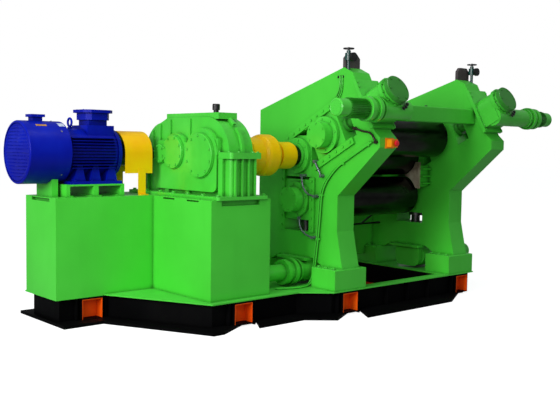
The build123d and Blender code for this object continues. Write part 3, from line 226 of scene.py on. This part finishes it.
pocketOrange = paint("pocketOrange", {
    "cloudScale": 4.0, "dark": (0.85, 0.075, 0.001), "base": (1.0, 0.115, 0.002), "light": (1.0, 0.15, 0.004),
    "streak": (0.92, 0.80, 0.7), "dust": (0.8, 0.1, 0.03), "dustAmount": 0.15, "occlusionShade": (0.9, 0.7, 0.6),
    "roughLow": 0.4, "roughHigh": 0.6, "coat": 0.0, "peel": 0.4, "shine": 0.2})
pitRed = paint("pitRed", {
    "cloudScale": 3.0, "dark": (0.55, 0.010, 0.002), "base": (0.80, 0.018, 0.002),
    "light": (0.95, 0.03, 0.003),
    "streak": (0.5, 0.4, 0.4), "dust": (0.25, 0.03, 0.01), "dustAmount": 0.35, "occlusionShade": (0.05, 0.01, 0.01),
    "roughLow": 0.4, "roughHigh": 0.6, "coat": 0.0, "peel": 0.4, "shine": 0.2})
greyPaint = paint("greyPaint", {
    "cloudScale": 5.0, "dark": (0.050, 0.040, 0.042), "base": (0.078, 0.063, 0.066),
    "light": (0.11, 0.09, 0.09),
    "streak": (0.7, 0.7, 0.7), "dust": (0.25, 0.23, 0.2), "dustAmount": 0.3, "occlusionShade": (0.3, 0.3, 0.3),
    "roughLow": 0.4, "roughHigh": 0.6, "coat": 0.1, "peel": 0.5, "shine": 0.4})
tealPaint = paint("tealPaint", {
    "cloudScale": 9.0, "dark": (0.002, 0.040, 0.034), "base": (0.004, 0.070, 0.056),
    "light": (0.008, 0.12, 0.095),
    "streak": (0.7, 0.8, 0.8), "dust": (0.1, 0.2, 0.18), "dustAmount": 0.3, "occlusionShade": (0.2, 0.3, 0.3),
    "roughLow": 0.3, "roughHigh": 0.45, "coat": 0.3, "peel": 0.5, "shine": 0.5})
beigePlate = paint("beigePlate", {
    "cloudScale": 9.0, "dark": (0.20, 0.15, 0.10), "base": (0.46, 0.38, 0.27), "light": (0.66, 0.60, 0.46),
    "streak": (0.45, 0.38, 0.3), "dust": (0.4, 0.34, 0.25), "dustAmount": 0.2, "occlusionShade": (0.15, 0.11, 0.08),
    "roughLow": 0.5, "roughHigh": 0.75, "coat": 0.0, "peel": 0.8, "shine": 0.3})
orangeBox = paint("orangeBox", {
    "cloudScale": 12.0, "dark": (1.0, 0.24, 0.001), "base": (1.0, 0.34, 0.002), "light": (1.0, 0.46, 0.004),
    "streak": (0.9, 0.8, 0.7), "dust": (0.9, 0.5, 0.2), "dustAmount": 0.1, "occlusionShade": (0.5, 0.2, 0.05),
    "roughLow": 0.3, "roughHigh": 0.4, "coat": 0.2, "peel": 0.3, "shine": 0.4})
blackPart = paint("blackPart", {
    "cloudScale": 14.0, "dark": (0.003, 0.003, 0.004), "base": (0.007, 0.007, 0.008),
    "light": (0.018, 0.018, 0.018),
    "streak": (0.7, 0.7, 0.7), "dust": (0.06, 0.055, 0.05), "dustAmount": 0.2, "occlusionShade": (0.4, 0.4, 0.4),
    "roughLow": 0.3, "roughHigh": 0.5, "coat": 0.1, "peel": 0.4, "shine": 0.4})
redKnob = paint("redKnob", {
    "cloudScale": 14.0, "dark": (0.60, 0.002, 0.01), "base": (0.85, 0.005, 0.02), "light": (0.95, 0.01, 0.03),
    "streak": (0.8, 0.7, 0.7), "dust": (0.6, 0.2, 0.2), "dustAmount": 0.1, "occlusionShade": (0.4, 0.1, 0.1),
    "roughLow": 0.2, "roughHigh": 0.35, "coat": 0.4, "peel": 0.2, "shine": 0.5})
ochreTag = paint("ochreTag", {
    "cloudScale": 30.0, "dark": (0.30, 0.12, 0.01), "base": (0.55, 0.27, 0.03), "light": (0.75, 0.42, 0.06),
    "streak": (0.6, 0.5, 0.4), "dust": (0.5, 0.3, 0.1), "dustAmount": 0.1, "occlusionShade": (0.4, 0.2, 0.1),
    "roughLow": 0.3, "roughHigh": 0.5, "coat": 0.1, "peel": 0.3, "shine": 0.4})
paleTag = paint("paleTag", {
    "cloudScale": 40.0, "dark": (0.35, 0.42, 0.62), "base": (0.60, 0.68, 0.85), "light": (0.80, 0.86, 0.95),
    "streak": (0.7, 0.75, 0.85), "dust": (0.6, 0.6, 0.6), "dustAmount": 0.1, "occlusionShade": (0.3, 0.3, 0.4),
    "roughLow": 0.2, "roughHigh": 0.35, "coat": 0.2, "peel": 0.2, "shine": 0.5})


# turned or ground metal: fine rings round the X axis, smears of oil and rubber dust
def metal(name, s):
    mat, nt, bsdf, coord = newMaterial(name)
    smear = noiseOf(nt, coord, s["smearScale"], 5.0, 0.6, stretch=s["stretch"])
    col = rampOf(nt, smear, [(0.35, s["dark"]), (0.65, s["light"])])
    nt.links.new(col, bsdf.inputs["Base Color"])
    bsdf.inputs["Metallic"].default_value = 1.0
    gloss = nt.nodes.new("ShaderNodeMapRange")
    gloss.inputs["To Min"].default_value = s["roughLow"]
    gloss.inputs["To Max"].default_value = s["roughHigh"]
    nt.links.new(smear, gloss.inputs["Value"])
    nt.links.new(gloss.outputs[0], bsdf.inputs["Roughness"])
    rings = noiseOf(nt, coord, 1.0, 3.0, 0.7, stretch=s["grain"])
    bumpOf(nt, bsdf, rings, s["bump"], 0.0004)
    return mat


rollSteel = metal("rollSteel", {
    "smearScale": 1.6, "stretch": (1.0, 2.0, 2.0), "dark": (0.012, 0.013, 0.011),
    "light": (0.050, 0.050, 0.046),
    "roughLow": 0.16, "roughHigh": 0.34, "grain": (900.0, 3.0, 3.0), "bump": 0.12})
darkSteel = metal("darkSteel", {
    "smearScale": 5.0, "stretch": (1.0, 1.0, 1.0), "dark": (0.05, 0.05, 0.055), "light": (0.16, 0.15, 0.15),
    "roughLow": 0.3, "roughHigh": 0.5, "grain": (160.0, 160.0, 160.0), "bump": 0.2})
zincBolt = metal("zincBolt", {
    "smearScale": 30.0, "stretch": (1.0, 1.0, 1.0), "dark": (0.18, 0.18, 0.19), "light": (0.42, 0.41, 0.40),
    "roughLow": 0.3, "roughHigh": 0.5, "grain": (300.0, 300.0, 300.0), "bump": 0.2})


# braided hose in steel grey with a fine weave; above the nose the same node's cable is brown rubber
def hoseMaterial(name, s):
    mat, nt, bsdf, coord = newMaterial(name)
    split = nt.nodes.new("ShaderNodeSeparateXYZ")
    nt.links.new(coord, split.inputs[0])
    high = nt.nodes.new("ShaderNodeMath")
    high.operation = "GREATER_THAN"
    high.inputs[1].default_value = s["cableFrom"]
    nt.links.new(split.outputs["Z"], high.inputs[0])
    weave = nt.nodes.new("ShaderNodeTexVoronoi")
    weave.inputs["Scale"].default_value = s["weaveScale"]
    nt.links.new(coord, weave.inputs["Vector"])
    col = rampOf(nt, weave.outputs["Distance"], [(0.1, s["light"]), (0.6, s["dark"])])
    col = mixOf(nt, high.outputs[0], col, s["cable"])
    nt.links.new(col, bsdf.inputs["Base Color"])
    bsdf.inputs["Metallic"].default_value = 0.6
    bsdf.inputs["Roughness"].default_value = s["rough"]
    bumpOf(nt, bsdf, weave.outputs["Distance"], 0.5, 0.0008)
    return mat


hoseBraid = hoseMaterial("hoseBraid", {
    "cableFrom": 1.6, "weaveScale": 260.0, "light": (0.50, 0.56, 0.60), "dark": (0.12, 0.15, 0.18),
    "cable": (0.05, 0.028, 0.03), "rough": 0.34})

# the CAD nodes keep their meshes and take these finishes
finishes = [
    (greenPaint, ["drive_deck", "pit_deck", "motor_plinth", "gearbox_plinth", "motor_stand", "cowl_bracket",
                  "near_frame", "far_frame", "frame_feet", "slot_retainers", "nose_beam", "rear_beam",
                  "guide_brackets", "rear_panel", "gear_guard", "frame_conduits"]),
    (castGreen, ["gearbox_lower_case", "gearbox_upper_case", "gearbox_cover", "gearbox_bearing_caps",
                 "gearbox_output_ring", "middle_bearing_blocks", "top_bearing_blocks",
                 "bottom_bearing_blocks",
                 "upper_screw_drives", "upper_gap_motors", "lower_screw_drives", "lower_gap_motors"]),
    (bedBlack, ["base_drive_bed", "base_front_beam", "base_rear_beam", "base_end_beam"]),
    (pocketOrange, ["lifting_pockets"]),
    (pitRed, ["pit_floor"]),
    (hoseBraid, ["frame_hoses"]),
    (deepGreen, ["screw_drive_caps", "top_screws"]),
    (bluePaint, ["motor_frame", "motor_fan_cowl", "motor_terminal_box", "cowl_terminal_box"]),
    (yellowPaint, ["coupling_guard", "roll_coupling"]),
    (rollSteel, ["top_roll", "middle_roll", "bottom_roll"]),
    (darkSteel, ["drive_coupling", "bottom_screws"]),
    (beigePlate, ["stock_guides"]),
    (greyPaint, ["peak_plates"]),
    (tealPaint, ["valve_bodies"]),
    (blackPart, ["gearbox_breather", "rear_rail", "near_hand_wheel", "far_hand_wheel", "pressure_gauges"]),
    (orangeBox, ["stop_box"]),
]
for mat, names in finishes:
    for name in names:
        node = nodes[name]
        node.data.materials.clear()
        node.data.materials.append(mat)
print("stage: materials on", sum(len(names) for mat, names in finishes), "CAD nodes")

# ---- shared builders for new pieces
def addPiece(name, verts, faces, mat, body, smooth=False):
    mesh = bpy.data.meshes.new(name)
    mesh.from_pydata(verts.tolist(), [], faces.tolist() if hasattr(faces, "tolist") else faces)
    mesh.validate()
    mesh.materials.append(mat)
    if smooth:
        mesh.polygons.foreach_set("use_smooth", np.ones(len(mesh.polygons), bool))
        mesh.set_sharp_from_angle(angle=math.radians(35))
    obj = bpy.data.objects.new(name, mesh)
    scene.collection.objects.link(obj)
    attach(obj, body)
    return obj


# an axis frame: two unit vectors square to the given direction
def squareTo(axis):
    axis = np.array(axis, float) / np.linalg.norm(axis)
    side = np.cross(axis, (0.0, 0.0, 1.0) if abs(axis[2]) < 0.9 else (1.0, 0.0, 0.0))
    side /= np.linalg.norm(side)
    return axis, side, np.cross(axis, side)


# turned shapes: P(i, k) = spot + axis*h[i] + r[i]*(cos(2 pi k/n)*side + sin(2 pi k/n)*over),
# the same profile at every spot
def turnedAt(spots, axis, profile, sides, phase=0.0):
    axis, side, over = squareTo(axis)
    spots = np.atleast_2d(np.array(spots, float))
    h, r = np.array(profile, float).T
    ang = 2 * np.pi * (np.arange(sides) + phase) / sides
    ring = np.cos(ang)[:, None] * side + np.sin(ang)[:, None] * over
    one = h[:, None, None] * axis + r[:, None, None] * ring[None]
    verts = (spots[:, None, None, :] + one[None]).reshape(-1, 3)
    i, k = np.meshgrid(np.arange(len(h) - 1), np.arange(sides), indexing="ij")
    a = i * sides + k
    b = i * sides + (k + 1) % sides
    quads = np.stack([a, b, b + sides, a + sides], -1).reshape(-1, 4)
    step = len(h) * sides
    quads = (quads[None] + (np.arange(len(spots)) * step)[:, None, None]).reshape(-1, 4)
    return verts, quads


# hexagon heads with a washer under each; the last ring has no radius, so the top is closed
def bolts(name, spots, axis, size, body, mat):
    washer = [(0, 0.0), (0, 1.25 * size), (0.16 * size, 1.25 * size), (0.16 * size, 0.95 * size)]
    head = [(0.16 * size, 0.92 * size), (0.72 * size, 0.92 * size), (0.80 * size, 0.80 * size),
            (0.80 * size, 0.0)]
    wv, wf = turnedAt(spots, axis, washer, 12)
    hv, hf = turnedAt(spots, axis, head, 6, 0.5)
    verts = np.concatenate([wv, hv])
    faces = np.concatenate([wf, hf + len(wv)])
    return addPiece(name, verts, faces, mat, body)


# n points on a circle about the X axis direction through (x, y, z)
def circleX(x, y, z, radius, count, start=0.0):
    a = start + 2 * np.pi * np.arange(count) / count
    return np.stack([np.full(count, x), y + radius * np.cos(a), z + radius * np.sin(a)], 1)


rollHeight = 1.51
tilt = math.radians(28)
rollStep = 0.438
topY, topZ = -rollStep * math.cos(tilt), rollHeight + rollStep * math.sin(tilt)
bottomZ = rollHeight - rollStep
slopeDir = np.array([0.0, -math.cos(tilt), math.sin(tilt)])
riseDir = np.array([0.0, math.sin(tilt), math.cos(tilt)])


# along the upper screw's line from the middle roll, and square to it
def inclined(x, along, rise):
    x, along, rise = np.broadcast_arrays(np.atleast_1d(x), along, rise)
    base = np.stack([x, np.zeros(len(x)), np.full(len(x), rollHeight)], 1)
    return base + along[:, None] * slopeDir + rise[:, None] * riseDir


# ---- bolts
# each bearing cap's centre y and z, its bolt circle and the number of bolts
capSettings = {"face": -1.076, "start": 0.3,
               "caps": [(0.0, 1.505, 0.178, 10), (0.42, 1.53, 0.134, 8), (0.64, 1.51, 0.073, 6)]}
capSpots = np.concatenate([circleX(capSettings["face"], y, z, r, n, capSettings["start"])
                           for y, z, r, n in capSettings["caps"]])
bolts("gearbox_cap_bolts", capSpots, (-1, 0, 0), 0.011, "plant", castGreen)

splitSettings = {"x": (-1.012, -0.688), "y": (-0.408, 1.041), "z": 1.538, "countLong": 11, "margin": 0.03,
                 "endX": (-0.93, -0.77)}
longY = np.linspace(splitSettings["y"][0] + splitSettings["margin"],
                    splitSettings["y"][1] - splitSettings["margin"], splitSettings["countLong"])
sides = [np.stack([np.full(len(longY), x), longY, np.full(len(longY), splitSettings["z"])], 1)
         for x in splitSettings["x"]]
endX = np.array(splitSettings["endX"])
ends = [np.stack([endX, np.full(2, y), np.full(2, splitSettings["z"])], 1) for y in splitSettings["y"]]
bolts("gearbox_split_bolts", np.concatenate(sides + ends), (0, 0, 1), 0.013, "plant", castGreen)

caseFoot = {"x": (-1.115, -0.60), "y": (-0.36, 1.0), "z": 1.151, "count": 7}
footY = np.linspace(*caseFoot["y"], caseFoot["count"])
footSpots = np.concatenate([np.stack([np.full(len(footY), x), footY, np.full(len(footY), caseFoot["z"])], 1)
                            for x in caseFoot["x"]])
bolts("gearbox_foot_bolts", footSpots, (0, 0, 1), 0.020, "plant", castGreen)

# retaining strips: half a window plus its clearance plus half a strip from the window's middle line
stripMiddle = 0.177 + 0.006 + 0.033
upperAlong = np.linspace(-0.04, 0.70, 9)
lowerAlong = np.linspace(0.20, 0.70, 6)
stripZ = np.linspace(0.80, 1.55, 9)
stripFrontZ = np.linspace(0.80, 1.26, 6)
for side, x, out in (("near", 0.146, -1), ("far", 2.179, 1)):
    spots = np.concatenate([
        inclined(x, upperAlong, stripMiddle), inclined(x, lowerAlong, -stripMiddle),
        np.stack([np.full(len(stripZ), x), np.full(len(stripZ), stripMiddle), stripZ], 1),
        np.stack([np.full(len(stripFrontZ), x), np.full(len(stripFrontZ), -stripMiddle), stripFrontZ], 1)])
    bolts(side + "_strip_bolts", spots, (out, 0, 0), 0.012, "plant", greenPaint)

bearingSettings = {"ringRadius": 0.152, "ringBolts": 8, "ringStart": 0.593, "capRadius": 0.106, "capBolts": 6,
                   "middleRadius": 0.155, "middleStart": 0.2}
for side, ringX, capX, out in (("near", 0.130, 0.025, -1), ("far", 2.195, 2.300, 1)):
    for roll, y, z, body in (("top", topY, topZ, "top_blocks"), ("bottom", 0.0, bottomZ, "bottom_blocks")):
        spots = np.concatenate([
            circleX(ringX, y, z, bearingSettings["ringRadius"], bearingSettings["ringBolts"],
                    bearingSettings["ringStart"]),
            circleX(capX, y, z, bearingSettings["capRadius"], bearingSettings["capBolts"], 0.5)])
        bolts(side + "_" + roll + "_bearing_bolts", spots, (out, 0, 0), 0.010, body, castGreen)
    spots = circleX(ringX, 0, rollHeight, bearingSettings["middleRadius"], bearingSettings["ringBolts"],
                    bearingSettings["middleStart"])
    bolts(side + "_middle_bearing_bolts", spots, (out, 0, 0), 0.010, "plant", castGreen)

footSettings = {"margin": 0.05, "y": [-0.60, -0.50, -0.40, 0.43, 0.53, 0.63], "z": 0.437}
for side, x0, x1 in (("near", 0.038, 0.467), ("far", 1.792, 2.221)):
    xs = np.array([x0 + footSettings["margin"], x1 - footSettings["margin"]])
    gx, gy = np.meshgrid(xs, footSettings["y"])
    spots = np.stack([gx.ravel(), gy.ravel(), np.full(gx.size, footSettings["z"])], 1)
    bolts(side + "_foot_bolts", spots, (0, 0, 1), 0.020, "plant", greenPaint)

driveSettings = {"plateAlong": 1.034, "plateX": 0.142, "plateRise": (-0.215, -0.175, 0.185, 0.235),
                 "ringAlong": 1.26, "ringRadius": 0.140, "ringBolts": 10,
                 "capAlong": 1.332, "capRadius": 0.112, "capBolts": 6,
                 "lugAlong": 1.268, "lugX": (0.050, 0.090, 0.125), "lugRise": (-0.168, -0.150, -0.122)}
for side, midX in (("near", 0.284), ("far", 2.041)):
    a = 2 * np.pi * np.arange(driveSettings["ringBolts"]) / driveSettings["ringBolts"]
    ring = inclined(midX + driveSettings["ringRadius"] * np.cos(a), driveSettings["ringAlong"],
                    driveSettings["ringRadius"] * np.sin(a))
    a = 2 * np.pi * np.arange(driveSettings["capBolts"]) / driveSettings["capBolts"]
    cap = inclined(midX + driveSettings["capRadius"] * np.cos(a), driveSettings["capAlong"],
                   driveSettings["capRadius"] * np.sin(a))
    px, pr = np.meshgrid((midX - driveSettings["plateX"], midX + driveSettings["plateX"]),
                         driveSettings["plateRise"])
    plate = inclined(px.ravel(), driveSettings["plateAlong"], pr.ravel())
    bolts(side + "_drive_ring_bolts", np.concatenate([ring, plate]), slopeDir, 0.011, "plant", castGreen)
    bolts(side + "_drive_cap_bolts", cap, slopeDir, 0.009, "plant", deepGreen)
    lugs = inclined(midX + np.array(driveSettings["lugX"]), driveSettings["lugAlong"],
                    np.array(driveSettings["lugRise"]))
    bolts(side + "_drive_lug_bolts", lugs, slopeDir, 0.014, "plant", blackPart)
bolts("nose_beam_bolt", [(1.16, -0.80, 2.0195)], (0, 0, 1), 0.016, "plant", blackPart)
print("stage: bolts")


# ---- fan grilles: x(r, t) = face - out*depth*saw(r sin t / pitch), louvres that run level across a round end
def grille(name, face, y, z, radius, pitch, depth, out, mat):
    rings, turns = 46, 96
    r = np.linspace(0, 1, rings)[:, None] ** 0.8 * radius
    t = np.linspace(0, 2 * np.pi, turns, endpoint=False)[None]
    level = r * np.sin(t)
    saw = level / pitch - np.floor(level / pitch)
    edge = np.clip((radius - r) / (0.12 * radius), 0, 1)
    x = face - out * depth * np.clip(saw * 1.6, 0, 1) * edge
    verts = np.stack([x, y + r * np.cos(t), z + level], -1).reshape(-1, 3)
    i, k = np.meshgrid(np.arange(rings - 1), np.arange(turns), indexing="ij")
    a, b = i * turns + k, i * turns + (k + 1) % turns
    quads = np.stack([a, a + turns, b + turns, b], -1).reshape(-1, 4)
    if out < 0:
        quads = quads[:, ::-1]
    return addPiece(name, verts, quads, mat, "plant", smooth=False)


grille("motor_cowl_grille", -2.4065, 0.83, 1.512, 0.250, 0.030, 0.007, -1, bluePaint)
wormY, wormZ = inclined(0.0, 1.164, -0.132)[0, 1:]
grille("near_gap_motor_grille", -0.4315, wormY, wormZ, 0.066, 0.014, 0.004, -1, castGreen)
grille("far_gap_motor_grille", 2.9515, wormY, wormZ, 0.066, 0.014, 0.004, 1, castGreen)


# ---- cooling fins: r(t) = base + height*max(0, cos(n t))^6 swept along X between two stations
def finnedSleeve(name, x0, x1, y, z, base, height, count, mat):
    t = np.linspace(0, 2 * np.pi, count * 8, endpoint=False)
    r = base + height * np.clip(np.cos(count * t), 0, 1) ** 6
    x = np.array([x0, x0, x1, x1])
    scale = np.array([0.0, 1.0, 1.0, 0.0])
    rr = np.where(scale[:, None] > 0, r[None], base * 0.7)
    verts = np.stack([np.broadcast_to(x[:, None], rr.shape), y + rr * np.cos(t), z + rr * np.sin(t)], -1)
    n = len(t)
    i, k = np.meshgrid(np.arange(3), np.arange(n), indexing="ij")
    a, b = i * n + k, i * n + (k + 1) % n
    quads = np.stack([a, b, b + n, a + n], -1).reshape(-1, 4)[:, ::-1]
    return addPiece(name, verts.reshape(-1, 3), quads, mat, "plant")


finnedSleeve("near_gap_motor_fins", -0.300, -0.075, wormY, wormZ, 0.0725, 0.017, 30, castGreen)
finnedSleeve("far_gap_motor_fins", 2.685, 2.826, wormY, wormZ, 0.0725, 0.017, 30, castGreen)
print("stage: grilles and fins")

# ---- rings and curved tags
# torus: P(a, b) = place + (R + r cos b)*(cos a*side + sin a*over) + r sin b*axis
def torus(name, place, axis, big, small, mat, body="plant", turns=40, sides=12):
    axis, side, over = squareTo(axis)
    a = 2 * np.pi * np.arange(turns)[:, None] / turns
    b = 2 * np.pi * np.arange(sides)[None] / sides
    reach = (big + small * np.cos(b))[..., None]
    ring = np.cos(a)[..., None] * side + np.sin(a)[..., None] * over
    verts = (np.array(place) + reach * ring + (small * np.sin(b))[..., None] * axis).reshape(-1, 3)
    i, k = np.meshgrid(np.arange(turns), np.arange(sides), indexing="ij")
    j, l = (i + 1) % turns, (k + 1) % sides
    quads = np.stack([i * sides + k, j * sides + k, j * sides + l, i * sides + l], -1).reshape(-1, 4)
    return addPiece(name, verts, quads, mat, body, smooth=True)


# patch on a drum round X: P(i, k) = (x_i, y + r cos t_k, z + r sin t_k), a second skin inside it and a rim
def drumTag(name, x0, x1, t0, t1, y, z, radius, thick, mat):
    x = np.linspace(x0, x1, 3)
    t = np.radians(np.linspace(t0, t1, 9))
    gx, gt = np.meshgrid(x, t, indexing="ij")
    skins = [np.stack([gx, y + r * np.cos(gt), z + r * np.sin(gt)], -1).reshape(-1, 3)
             for r in (radius + thick, radius - 0.001)]
    i, k = np.meshgrid(np.arange(2), np.arange(8), indexing="ij")
    a = i * 9 + k
    top = np.stack([a, a + 1, a + 10, a + 9], -1).reshape(-1, 4)
    rim = np.concatenate([np.arange(9), np.array([17]), np.arange(26, 17, -1), np.array([9])])
    nxt = np.roll(rim, -1)
    edge = np.stack([rim, rim + 27, nxt + 27, nxt], -1)
    faces = np.concatenate([top, top[:, ::-1] + 27, edge])
    return addPiece(name, np.concatenate(skins), faces, mat, "plant")


motorY, motorZ = 0.83, 1.512
cowlRadius = 0.278
eyeX = -1.905
torus("motor_lifting_eye", (eyeX, motorY, 1.786), (1, 0, 0), 0.036, 0.010, bluePaint)
stemProfile = [(0, 0), (0, 0.022), (0.022, 0.022), (0.036, 0.012), (0.042, 0)]
stemV, stemF = turnedAt([(eyeX, motorY, 1.715)], (0, 0, 1), stemProfile, 16)
addPiece("lifting_eye_stem", stemV, stemF, bluePaint, "plant", smooth=True)
drumTag("cowl_tag", -2.298, -2.199, 118.5, 124.0, motorY, motorZ, cowlRadius, 0.0012, ochreTag)
drumTag("cowl_plate", -2.086, -2.030, 112.0, 124.0, motorY, motorZ, cowlRadius, 0.0012, paleTag)

# screws that hold the cowl, their heads square to the drum
for n, deg in enumerate((137.9, -136.1, 42.0, -44.0, 90.0)):
    a = math.radians(deg)
    outward = np.array([0.0, math.cos(a), math.sin(a)])
    spot = np.array([-2.087, motorY, motorZ]) + 0.2775 * outward
    bolts(f"cowl_screw_{n + 1}", [spot], outward, 0.007, "plant", zincBolt)
lidSpots = [(-1.672 + dx, motorY + dy, 1.904) for dx in (-0.128, 0.128) for dy in (0.06, -0.06)]
bolts("terminal_lid_screws", lidSpots, (0, 0, 1), 0.006, "plant", bluePaint)
motorFeet = [(x, motorY + side * 0.222, 1.259) for x in (-1.965, -1.80, -1.56) for side in (-1, 1)]
bolts("motor_foot_bolts", motorFeet, (0, 0, 1), 0.012, "plant", bluePaint)

# ---- tubes along a rounded path
# rounded path C(s): every corner is replaced by the points at a quarter and three quarters of its two sides
def roundedPath(points, cuts=3):
    pts = np.array(points, float)
    for _ in range(cuts):
        a = pts[:-1] * 0.75 + pts[1:] * 0.25
        b = pts[:-1] * 0.25 + pts[1:] * 0.75
        pts = np.concatenate([pts[:1], np.stack([a, b], 1).reshape(-1, 3)[1:-1], pts[-1:]])
    return pts


# tube: P(s, t) = C(s) + r*(cos t*N(s) + sin t*B(s)), both ends closed
def tube(path, radius, sides=10, ref=(1.0, 0.0, 0.0)):
    tangent = np.gradient(path, axis=0)
    tangent /= np.linalg.norm(tangent, axis=1)[:, None]
    normal = np.cross(tangent, np.array(ref))
    normal /= np.linalg.norm(normal, axis=1)[:, None]
    binormal = np.cross(tangent, normal)
    t = 2 * np.pi * np.arange(sides) / sides
    ring = np.cos(t)[None, :, None] * normal[:, None] + np.sin(t)[None, :, None] * binormal[:, None]
    verts = path[:, None] + radius * ring
    ends = [path[:1, None].repeat(sides, 1), path[-1:, None].repeat(sides, 1)]
    verts = np.concatenate([ends[0], verts, ends[1]]).reshape(-1, 3)
    i, k = np.meshgrid(np.arange(len(path) + 1), np.arange(sides), indexing="ij")
    a, b = i * sides + k, i * sides + (k + 1) % sides
    return verts, np.stack([a, b, b + sides, a + sides], -1).reshape(-1, 4)


# the stand's thin pipes run down the near frame's face and along the upper strip
lubeSettings = {"x": 0.158, "radius": 0.0055, "pitch": 0.017, "count": 3}
parts, total = [], 0
for n in range(lubeSettings["count"]):
    d = n * lubeSettings["pitch"]
    run = [(lubeSettings["x"], -0.560 - d, 2.268), (lubeSettings["x"], -0.562 - d, 2.13 - d),
           (lubeSettings["x"], -0.43 - d * 0.4, 1.985 - d), (lubeSettings["x"], -0.10, 1.80 - d)]
    v, f = tube(roundedPath(run), lubeSettings["radius"])
    parts.append((v, f + total))
    total += len(v)
addPiece("frame_lube_pipes", np.concatenate([p[0] for p in parts]), np.concatenate([p[1] for p in parts]),
         castGreen, "plant", smooth=True)
clampSpots = [(0.166, -0.595 + 0.030 * n, 2.262) for n in range(3)]
bolts("pipe_clamp_bolts", clampSpots, (-1, 0, 0), 0.010, "plant", blackPart)

# red mushroom button of the stop box, on the box's front
knobProfile = [(0, 0), (0, 0.016), (0.012, 0.016), (0.014, 0.028), (0.022, 0.029), (0.028, 0.022), (0.030, 0)]
knobV, knobF = turnedAt([(0.306, -1.1355, 1.642)], (0, -1, 0), knobProfile, 28)
addPiece("stop_button", knobV, knobF, redKnob, "plant", smooth=True)

# flange bolts of the gear coupling
couplingSpots = circleX(-0.2065, 0, rollHeight, 0.150, 12, 0.1)
bolts("coupling_flange_bolts", couplingSpots, (1, 0, 0), 0.010, "middle_roll", yellowPaint)
print("stage: fittings")

# ---- floor
floorMesh = bpy.data.meshes.new("floor")
half, low = 60, -0.001
floorMesh.from_pydata([(-half, -half, low), (half, -half, low), (half, half, low), (-half, half, low)], [],
                      [(0, 1, 2, 3)])
floor = bpy.data.objects.new("floor", floorMesh)
scene.collection.objects.link(floor)
floorMat, nt, bsdf, coord = newMaterial("floorWhite")
bsdf.inputs["Base Color"].default_value = (0.40, 0.40, 0.40, 1)
bsdf.inputs["Roughness"].default_value = 0.9
bsdf.inputs["Emission Color"].default_value = (1, 1, 1, 1)
seen = nt.nodes.new("ShaderNodeLightPath")
glow = nt.nodes.new("ShaderNodeMath")
glow.operation = "MULTIPLY"
glow.inputs[1].default_value = 0.88
nt.links.new(seen.outputs["Is Camera Ray"], glow.inputs[0])
nt.links.new(glow.outputs[0], bsdf.inputs["Emission Strength"])
floorMesh.materials.append(floorMat)
